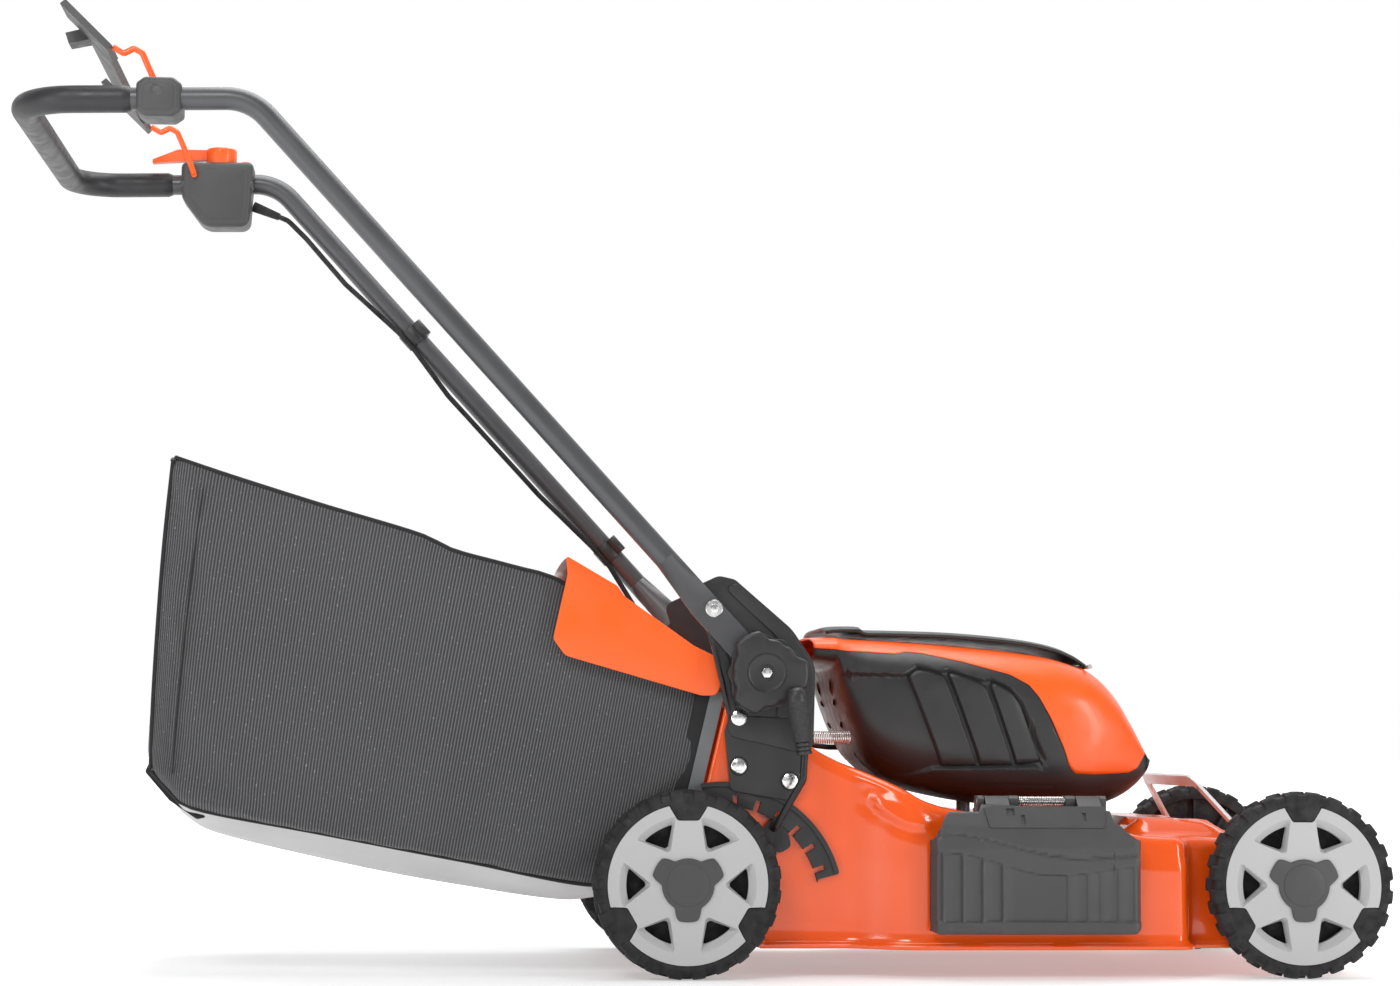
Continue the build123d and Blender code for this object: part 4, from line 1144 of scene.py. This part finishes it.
def make_bracket():
    """Formed charcoal bracket: flat foot, stepped waist, rear rim and a front arm by the tube's channel."""
    outline = rounded([(6, 426), (18, 391), (40.5, 325), (47, 281), (43, 268), (50, 203), (118, 192),
                       (130, 206),
                       (135, 243), (142, 256), (144, 342), (118, 381), (54, 436), (36, 440)],
                      [10, 60, 60, 14, 10, 6, 8, 10, 20, 8, 34, 60, 12, 14], step=4)
    shape = Shape().plate(outline, -209.2, -211.4, 0.8)
    front = rounded([(100, 283), (136, 283), (141.5, 300), (141.5, 341), (116, 379), (54, 433), (44, 425),
                     (100, 373), (113, 345), (104, 310)], [6, 6, 20, 30, 50, 8, 8, 30, 20, 20], step=4)
    shape.join(Shape().plate(front, -211, -213.6, 1.1))
    rear = rounded([(8, 425), (20, 390), (42, 325), (49, 283), (56, 283), (54, 330), (32, 392), (20, 424)],
                   [5, 50, 50, 4, 4, 50, 50, 5], step=4)
    shape.join(Shape().plate(rear, -211, -213.6, 1.1))
    waist = rounded([(46, 272), (51, 262), (134, 244), (140, 258), (140, 282), (49, 286)],
                    [5, 8, 12, 10, 8, 5], step=4)
    shape.join(Shape().plate(waist, -211, -213.4, 1.2))
    rim = rounded([(45.6, 286), (27.6, 362), (31.4, 364), (49.4, 287)], 1.5, step=5)
    shape.join(Shape().plate(rim, -211, -220.3, 0.8))
    for bolt in BRACKET_BOLTS:
        shape.turned([(3.1, -203.1), (9, -203.1), (9, -210)], bolt, 32)
        shape.turned([(10.5, -211.2), (9.5, -213.0), (3.1, -213.0)], bolt, 32)
    return shape


def make_pair(shape, name, body, replaced, angle):
    """A right-hand piece and its mirror image; {} in a name stands for the hand."""
    for hand, sided in (("right", shape), ("left", shape.mirrored())):
        sided.make(name.format(hand), body.format(hand), "dark_plastic", [replaced.format(hand)], angle=angle)


make_pair(make_bracket(), "bracket_{}_form", "chassis", "handle_bracket_{}", 30)


def knob_outline():
    """The knob's front: three lobes, and a shallow dip between each two."""
    outline = []
    for degrees in KNOB_TURNS:
        away = lobe_distance(degrees, KNOB_LOBES)
        wave = 9.5 * (1 - ease(15, 33, away)) - 1.6 * (1 - ease(0, 12, abs(away - 60)))
        outline.append(polar(37.5 + wave, degrees, PIVOT))
    return outline


def make_knob():
    """Three-lobed knob with a scalloped skirt behind and a dished middle."""
    front = knob_outline()
    dish = [(22, -242.4), (20.5, -240.2), (18, -239.2), (9.2, -239.0), (8.2, -239.8), (6.5, -239.8),
            (6.0, -238.2),
            (4.2, -238.2)]
    shape = Shape()
    stations = [(3, -224.2), (0.9, -225.2), (0, -227.0), (0, -238.2), (0.8, -240.6), (2.4, -242.2),
                (4.6, -242.9)]
    rings = [placed(inset(front, deep), y) for deep, y in stations]
    for radius, y in dish:
        rings.append(placed([polar(radius, degrees, PIVOT) for degrees in KNOB_TURNS], y))
    shape.rings(rings, ends=False)
    skirt = []
    for degrees in KNOB_TURNS:
        radius = 40.5 + 1.2 * math.cos(12 * math.radians(degrees))
        radius += 5.0 * (1 - ease(14, 34, lobe_distance(degrees, KNOB_LOBES)))
        skirt.append(polar(radius, degrees, PIVOT))
    return shape.join(Shape().plate(skirt, -221.2, -226.6, 1.2))


make_pair(make_knob(), "star_knob_{}_form", "knob_{}", "star_knob_{}", 35)


def hexagon(centre, radius, y_in, y_out, edge=0.5):
    """A hexagonal head or nut."""
    return Shape().plate([polar(radius, 60 * corner, centre) for corner in range(6)], y_in, y_out, edge)


def make_bolts():
    """Flanged hexagon heads on the brackets."""
    shape = Shape()
    for bolt in BRACKET_BOLTS:
        shape.turned([(3.0, -201), (3.0, -213.0), (8.2, -213.0), (8.4, -213.9), (6.8, -214.8), (3.4, -215.4)],
                     bolt, 36)
        shape.join(hexagon(bolt, 5.6, -214.2, -217.0))
    return shape.join(shape.mirrored())


make_bolts().make("bracket_bolt_heads", "chassis", "zinc", ["bracket_bolts"])


def make_washers():
    """The big bright washer and bolt head on each flattened tube end."""
    place = (30.3, 403.2)
    shape = Shape().turned([(3, -220.1), (9.4, -220.1), (9.6, -221.4), (8.8, -222.0), (3, -222.2)], place, 44)
    shape.join(hexagon(place, 5.0, -221.8, -224.0))
    return shape.join(shape.mirrored())


make_washers().make("handle_bolt_heads", "handle", "zinc", ["handle_bolts"])


def make_pivot_ends():
    """The steel nut and bolt end in the middle of each knob, with the bolt behind it."""
    shape = Shape().turned([(9, -203.3), (9, -208.7), (4, -208.7), (4, -234), (2.6, -239.8), (0.1, -239.8)],
                           PIVOT, 30)
    nut = hexagon(PIVOT, 6.0, -237.9, -241.2)
    return shape.join(nut).join(shape.mirrored()).join(nut.mirrored())


make_pivot_ends().make("pivot_bolt_ends", "chassis", "zinc", ["pivot_bolts"])

# ---------------------------------------------------------------- height lever grip
GRIP_BASE, GRIP_TOP = Vector((126.5, -256, 243)), Vector((116.6, -256, 316.2))


def make_grip():
    """Pebbled grip, fatter towards its top, with a smooth cap."""
    axis = (GRIP_TOP - GRIP_BASE).normalized()
    profile = [(8.6, 14), (9.6, 15), (10.3, 26), (11.0, 38), (11.4, 48), (11.2, 56), (10.9, 58)]
    path = [GRIP_BASE + axis * travel for _, travel in profile]
    return Shape().sweep(path, [radius for radius, _ in profile], 40)


def make_grip_ends():
    """The smooth round cap and the three rings at the foot."""
    axis = (GRIP_TOP - GRIP_BASE).normalized()
    cap = [(10.9, 57.6), (11.0, 60), (10.6, 65), (9.3, 69.5), (7.0, 72.4), (4.0, 73.7), (0.3, 74.0)]
    shape = Shape().sweep([GRIP_BASE + axis * t for _, t in cap], [r for r, _ in cap], 40)
    rings = [(4.2, 0)]
    for ring in range(3):
        start = 0.2 + 4.6 * ring
        rings += [(8.0, start), (8.6, start + 0.8), (8.6, start + 3.0), (8.0, start + 3.8),
                  (7.4, start + 4.2)]
    rings.append((8.6, 14.4))
    return shape.join(Shape().sweep([GRIP_BASE + axis * t for _, t in rings], [r for r, _ in rings], 40))


make_grip().make("lever_grip_pebble", "rear_crank", "grip_rubber", ["height_lever_grip"])
make_grip_ends().make("lever_grip_ends", "rear_crank", "grip_rubber", finish=FINISHES["dark_plastic"],
                      angle=40)


# ---------------------------------------------------------------- springs
def coil(start, end, radius, turns, wire):
    """A wire spring between two points."""
    start, end = Vector(start), Vector(end)
    axis = (end - start).normalized()
    across = axis.orthogonal().normalized()
    third = axis.cross(across)
    steps = turns * 18
    path = []
    for step in range(steps + 1):
        angle = math.tau * turns * step / steps
        outward = across * math.cos(angle) + third * math.sin(angle)
        path.append(start.lerp(end, step / steps) + outward * radius)
    return Shape().sweep(path, wire, 8)


coil((140.5, -150, 262), (191.5, -150, 262), 6.6, 20, 0.8).make(
    "assist_spring_coil", "chassis", "steel", ["assist_spring"], FINISHES["zinc"])
coil((369, -222, 193), (419, -222, 193), 5.1, 26, 0.75).make(
    "cover_spring_coil", "chassis", "steel", ["side_cover_spring"], FINISHES["zinc"])

# ---------------------------------------------------------------- grass bag
BAG_HALF = 197.0
BAG_WIDTH = 2 * BAG_HALF / 1000
SIDE_WEAVE = (0.585, 0.36)
CLOTH_FRAMES = 26
WRAP_COLUMNS = 49
FRONT_TOP, FRONT_FOOT = (26.5, 309), (-20.5, 106)
REAR_TOP, REAR_FOOT = (-572, 576), (-588, 221)
TOP_LINE = flowing([FRONT_TOP, (-20, 345), (-66, 384), (-134, 438.5), (-190, 456), (-255, 473), (-294, 491),
                    (-400, 522), (-500, 553), REAR_TOP], 64)
FOOT_LINE = flowing([FRONT_FOOT, (-103, 93.5), (-250, 120), (-400, 148), (-533, 173), (-562, 192), REAR_FOOT],
                    64)
FRONT_LINE = flowing([FRONT_TOP, FRONT_FOOT], 34)
REAR_LINE = flowing([REAR_TOP, (-581, 460), (-587, 320), REAR_FOOT], 34)


def side_point(u, v):
    """A point of the bag's side: u from the mouth to the rear, v from the top to the foot."""
    column, row = u * (len(TOP_LINE) - 1), v * (len(FRONT_LINE) - 1)
    along = [np.array([np.interp(column, range(len(line)), line[:, axis]) for axis in (0, 1)])
             for line in (TOP_LINE, FOOT_LINE)]
    down = [np.array([np.interp(row, range(len(line)), line[:, axis]) for axis in (0, 1)])
            for line in (FRONT_LINE, REAR_LINE)]
    corner = ((1 - u) * (1 - v) * np.array(FRONT_TOP) + u * (1 - v) * np.array(REAR_TOP)
              + (1 - u) * v * np.array(FRONT_FOOT) + u * v * np.array(REAR_FOOT))
    return (1 - v) * along[0] + v * along[1] + (1 - u) * down[0] + u * down[1] - corner


def cloth_panel(name, grid, cut, pinned, slack, cap, seed):
    """A sheet from a grid of points, sagged by cloth simulation with some of its points held."""
    rows, columns = len(grid), len(grid[0])
    mesh = bpy.data.meshes.new(name)
    faces = [(r * columns + c, r * columns + c + 1, (r + 1) * columns + c + 1, (r + 1) * columns + c)
             for r in range(rows - 1) for c in range(columns - 1)]
    rest = [spot(*point) for row in grid for point in row]
    mesh.from_pydata([tuple(point) for point in rest], [], faces)
    layer = mesh.uv_layers.new(name="Cut")
    for loop in mesh.loops:
        layer.data[loop.index].uv = cut(*divmod(loop.vertex_index, columns))
    sheet = bpy.data.objects.new(name, mesh)
    scene.collection.objects.link(sheet)
    settle(sheet, rest, pinned, columns, slack, cap, seed)
    return sheet


def settle(sheet, rest, pinned, columns, slack, cap, seed):
    """Runs the cloth for a second of falling and keeps each point within cap of where it was cut."""
    mesh = sheet.data
    for vertex in mesh.vertices:
        vertex.co += Vector((0, 0.0008 * noise.noise(Vector(vertex.co) * 22 + Vector((seed, 0, 0))), 0))
    group = sheet.vertex_groups.new(name="held")
    for place in range(len(rest)):
        share = pinned(*divmod(place, columns))
        if share > 0:
            group.add([place], share, "REPLACE")
    cloth = sheet.modifiers.new("Cloth", "CLOTH")
    cloth.settings.quality = 6
    cloth.settings.mass = 0.25
    cloth.settings.tension_stiffness = 40
    cloth.settings.compression_stiffness = 30
    cloth.settings.shear_stiffness = 12
    cloth.settings.bending_stiffness = 0.8
    cloth.settings.shrink_min = -slack
    cloth.settings.vertex_group_mass = "held"
    cloth.point_cache.frame_start = 1
    cloth.point_cache.frame_end = CLOTH_FRAMES
    for number in range(1, CLOTH_FRAMES + 1):
        scene.frame_set(number)
    graph = bpy.context.evaluated_depsgraph_get()
    moved = np.array([v.co for v in sheet.evaluated_get(graph).data.vertices], float)
    sheet.modifiers.remove(cloth)
    start = np.array(rest, float)
    step = moved - start
    length = np.linalg.norm(step, axis=1, keepdims=True)
    step *= np.minimum(1.0, cap / 1000 / np.maximum(length, 1e-9))
    mesh.vertices.foreach_set("co", (start + step).astype(np.float32).ravel())
    mesh.update()
    scene.frame_set(1)


def dress_cloth(sheet, slot, replaces=()):
    """Shading, finish and body of one panel of the bag."""
    sheet.data.polygons.foreach_set("use_smooth", [True] * len(sheet.data.polygons))
    sheet.data.materials.append(FINISHES[slot].material)
    smooth = sheet.modifiers.new("Smooth", "SUBSURF")
    smooth.levels = smooth.render_levels = 1
    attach(sheet, "bag")
    if replaces:
        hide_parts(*replaces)


def turned_edge(distance, radius=24.0):
    """Rounds the fold between two panels: how far a point ends up from the fold, and how far it sinks."""
    if distance >= radius:
        return distance, 0.0
    angle = math.radians(45 + 45 * distance / radius)
    return radius * (1 - math.cos(angle)), radius * (1 - math.sin(angle))


def make_side_panel(hand):
    """One side of the bag, bowed outwards a little, with its top, foot and rear edges folded in."""
    sign = -1 if hand == "right" else 1
    rows, columns = 49, 78
    grid = []
    for r in range(rows):
        row = []
        for c in range(columns):
            u, v = c / (columns - 1), r / (rows - 1)
            height = math.dist(side_point(u, 0), side_point(u, 1))
            length = math.dist(side_point(0, v), side_point(1, v))
            (top, sink_top), (foot, sink_foot) = turned_edge(v * height), turned_edge((1 - v) * height)
            rear, sink_rear = turned_edge((1 - u) * length)
            v += (top - v * height) / height - (foot - (1 - v) * height) / height
            u -= (rear - (1 - u) * length) / length
            x, z = side_point(u, v)
            bow = 3.0 * math.sin(math.pi * v) * math.sin(math.pi * u)
            row.append((x, sign * (BAG_HALF + bow - sink_top - sink_foot - sink_rear), z))
        grid.append(row)

    def cut(r, c):
        return (SIDE_WEAVE[0] * c / (columns - 1), SIDE_WEAVE[1] * r / (rows - 1))

    def held(r, c):
        return 1.0 if r in (0, rows - 1) or c in (0, columns - 1) else 0.0

    return cloth_panel(f"bag_side_{hand}", grid, cut, held, 0.014, 6.0, 3.0 if hand == "right" else 11.0)


def make_wrap(name, line, sag, ends, seed):
    """A panel across the bag's width along part of its outline; ends says which of its ends are folds."""
    travel = np.concatenate([[0], np.cumsum(np.linalg.norm(np.diff(line, axis=0), axis=1))])
    centre = np.array([-280.0, 320.0])
    grid = []
    for place in range(len(line)):
        along, sink_end = travel[place], 0.0
        if ends[0]:
            moved, sunk = turned_edge(travel[place])
            along, sink_end = along + moved - travel[place], sink_end + sunk
        if ends[1]:
            left = travel[-1] - travel[place]
            moved, sunk = turned_edge(left)
            along, sink_end = along - (moved - left), sink_end + sunk
        x, z = (float(np.interp(along, travel, line[:, axis])) for axis in (0, 1))
        step = min(place, len(line) - 2)
        ahead = line[step + 1] - line[step]
        normal = np.array([-ahead[1], ahead[0]]) / np.linalg.norm(ahead)
        if np.dot(normal, centre - line[place]) < 0:
            normal = -normal
        row = []
        for c in range(WRAP_COLUMNS):
            edge = 2 * BAG_HALF * c / (WRAP_COLUMNS - 1)
            near, sink = turned_edge(min(edge, 2 * BAG_HALF - edge))
            y = -BAG_HALF + near if edge < BAG_HALF else BAG_HALF - near
            middle_share = math.sin(math.pi * c / (WRAP_COLUMNS - 1))
            drop = sag * middle_share * math.sin(math.pi * travel[place] / travel[-1]) ** 0.7
            row.append((x + normal[0] * (sink + sink_end), y, z + normal[1] * (sink + sink_end) + drop))
        grid.append(row)
    length = float(travel[-1]) / 1000

    def cut(r, c):
        return (BAG_WIDTH * c / (WRAP_COLUMNS - 1), length * r / (len(line) - 1))

    def held(r, c):
        return 1.0 if r in (0, len(line) - 1) or c in (0, WRAP_COLUMNS - 1) else 0.0

    return cloth_panel(name, grid, cut, held, 0.008, 7.0, seed), length


dress_cloth(make_side_panel("right"), "bag_mesh", ["bag_fabric"])
dress_cloth(make_side_panel("left"), "bag_mesh", ())
for name, line, sag, ends, seed, slot, replaced in (
    ("bag_top", TOP_LINE, -6.0, (False, True), 7.0, "bag_mesh", ()),
    ("bag_rear", REAR_LINE, 0.0, (True, True), 9.0, "bag_mesh", ()),
    ("bag_base", FOOT_LINE, -22.0, (False, True), 13.0, "bag_liner", ["bag_bottom"]),
):
    panel, length = make_wrap(name, line, sag, ends, seed)
    dress_cloth(panel, slot, replaced)


def make_piping():
    """Black bound edges: round the mouth, along the rear foot, and the seams of the side panels."""
    shape = Shape()
    for sign in (-1, 1):
        y = sign * (BAG_HALF + 0.4)
        seam_y = sign * (BAG_HALF - 6.6)
        shape.join(Shape().plate([Vector((x, z)) for x, z in ((28.5, 309), (-18.5, 106), (-30.5, 106),
                                                              (12.5, 309))],
                                 y - sign * 1.5, y + sign * 1.6, 1.0))
        for start, stop in (((0, 0.02), (0.985, 0.02)), ((0.988, 0.03), (0.988, 0.975)),
                            ((0, 0.98), (0.985, 0.98))):
            edge = [side_point(start[0] + (stop[0] - start[0]) * t, start[1] + (stop[1] - start[1]) * t)
                    for t in np.linspace(0, 1, 40)]
            shape.sweep([(x, seam_y, z) for x, z in edge], 2.2, 8)
        seam = [(x, y, z) for x, z in (side_point(0.93, v) for v in np.linspace(0.08, 0.92, 24))]
        shape.sweep(seam, 0.9, 6)
    trim = [(-585, 232), (-590, 221), (-563, 190), (-533, 169.5), (-520, 172), (-531, 176), (-560, 196),
            (-582, 224)]
    return shape.join(Shape().plate(rounded(trim, 4, step=6), BAG_HALF - 14, 14 - BAG_HALF, 1.5))


make_piping().make("bag_piping", "bag", "bag_mesh", finish=PIPING, angle=40)

# ---------------------------------------------------------------- quadrant, foam sleeve and control housings
QUADRANT_CENTRE = (41.4, 78.5)


def arc_points(radius, turns):
    """Points at several angles about the quadrant's centre."""
    return [polar(radius, degrees, QUADRANT_CENTRE) for degrees in turns]


def make_quadrant():
    """Toothed arc for the height lever: six notches in its inner edge and a raised outer rib."""
    outline = arc_points(134.4, np.linspace(100, 15.6, 60)) + arc_points(133, [14.6]) + arc_points(110,
                                                                                                   [14.6])
    for notch in np.linspace(20, 83, 6):
        outline += arc_points(108.2, np.linspace(notch - 7, notch - 1.5, 4))
        outline += arc_points(120.5, (notch - 1.4, notch + 1.4))
        outline += arc_points(108.2, np.linspace(notch + 1.5, notch + 5, 3))
    outline += arc_points(108.2, np.linspace(91, 100, 5))
    shape = Shape().plate(outline, -203.1, -208.2, 0.5)
    rib = arc_points(134.3, np.linspace(100, 15.6, 60)) + arc_points(129, np.linspace(15.6, 100, 60))
    shape.join(Shape().plate(rib, -208, -209.9, 0.5))
    tab = rounded([(88, 150), (104, 134), (118, 142), (112, 172), (96, 176)], 6, step=4)
    return shape.join(Shape().plate(tab, -203.1, -207.2, 0.6))


make_quadrant().make("quadrant_teeth", "chassis", "dark_plastic", ["height_quadrant"])


def make_foam():
    """Foam sleeve along the loop of the handle, thinning to its tube at both ends."""
    route = rounded([(-612, -255, 950.3), (-733, -255, 947), (-733, 255, 947), (-612, 255, 950.3)], 58,
                    closed=False,
                    step=6, arc=14)
    travel = [0.0]
    for a, b in zip(route, route[1:]):
        travel.append(travel[-1] + (b - a).length)
    radii = [12.8 + 2.2 * ease(0, 2.5, min(t, travel[-1] - t)) for t in travel]
    return Shape().sweep(route, radii, 36)


make_foam().make("foam_sleeve", "handle", "foam_black", ["foam_grip"])


def housing(corners, radii, y_in, y_out, edge, border):
    """A moulded box with deep rounded edges and a raised panel in its outer face."""
    corners = [Vector(corner) for corner in corners]

    def loop(lift):
        return rounded(inset(corners, lift), [max(radius - lift, 1.2) for radius in radii], step=0)

    way = 1 if y_out > y_in else -1
    stations = [(0.0, y_in)]
    for turn in range(9):
        angle = math.pi / 2 * turn / 8
        stations.append((edge * (1 - math.cos(angle)), y_out - way * edge * (1 - math.sin(angle))))
    shape = Shape().rings([placed(loop(lift), y) for lift, y in stations])
    panel = [(border, y_out - way * 1.5), (border, y_out + way * 0.3), (border + 0.7, y_out + way * 0.7)]
    return shape.join(Shape().rings([placed(loop(lift), y) for lift, y in panel]))


def make_bail_bracket():
    outline = [(-606, 936), (-606, 966), (-597, 973), (-566, 973), (-557, 966), (-557, 936), (-566, 929.5),
               (-597, 929.5)]
    shape = housing(outline, [5, 5, 8, 8, 5, 5, 8, 8], -222.5, -271, 6, 8)
    eye = [(4.4, -269), (4.6, -271.9), (6.8, -272.2), (7.6, -271.4)]
    return shape.join(Shape().turned(eye, (-583.4, 957.6), 32))


def make_control_box():
    outline = [(-600, 943), (-600, 974.5), (-511, 976), (-511, 963), (-515, 894), (-571, 893), (-598.5, 929)]
    radii = [14, 7, 9, 30, 12, 22, 16]
    shape = housing(outline, radii, 246, 271, 7, 10).join(housing(outline, radii, 246, 222.8, 7, 10))
    ledge = rounded([(-601, 943), (-601, 951), (-510.5, 951), (-510.5, 943)], 3, step=3)
    return shape.join(Shape().plate(ledge, 223.5, 270, 1.2))


make_bail_bracket().make("bail_bracket_form", "handle", "grey_plastic", ["bail_bracket"])
make_control_box().make("control_box_form", "handle", "grey_plastic", ["control_box"])

# ---------------------------------------------------------------- softer edges on the CAD pieces that stay
soften(0.8, "battery", "battery_bay", "bag_frame", "cable_clips", "side_cover_bracket")
soften(1.6, "start_lever", "bail_bar")
soften(0.6, "lift_hoop", "front_axle_crank", "rear_axle_crank", "blade", "height_link_rod")
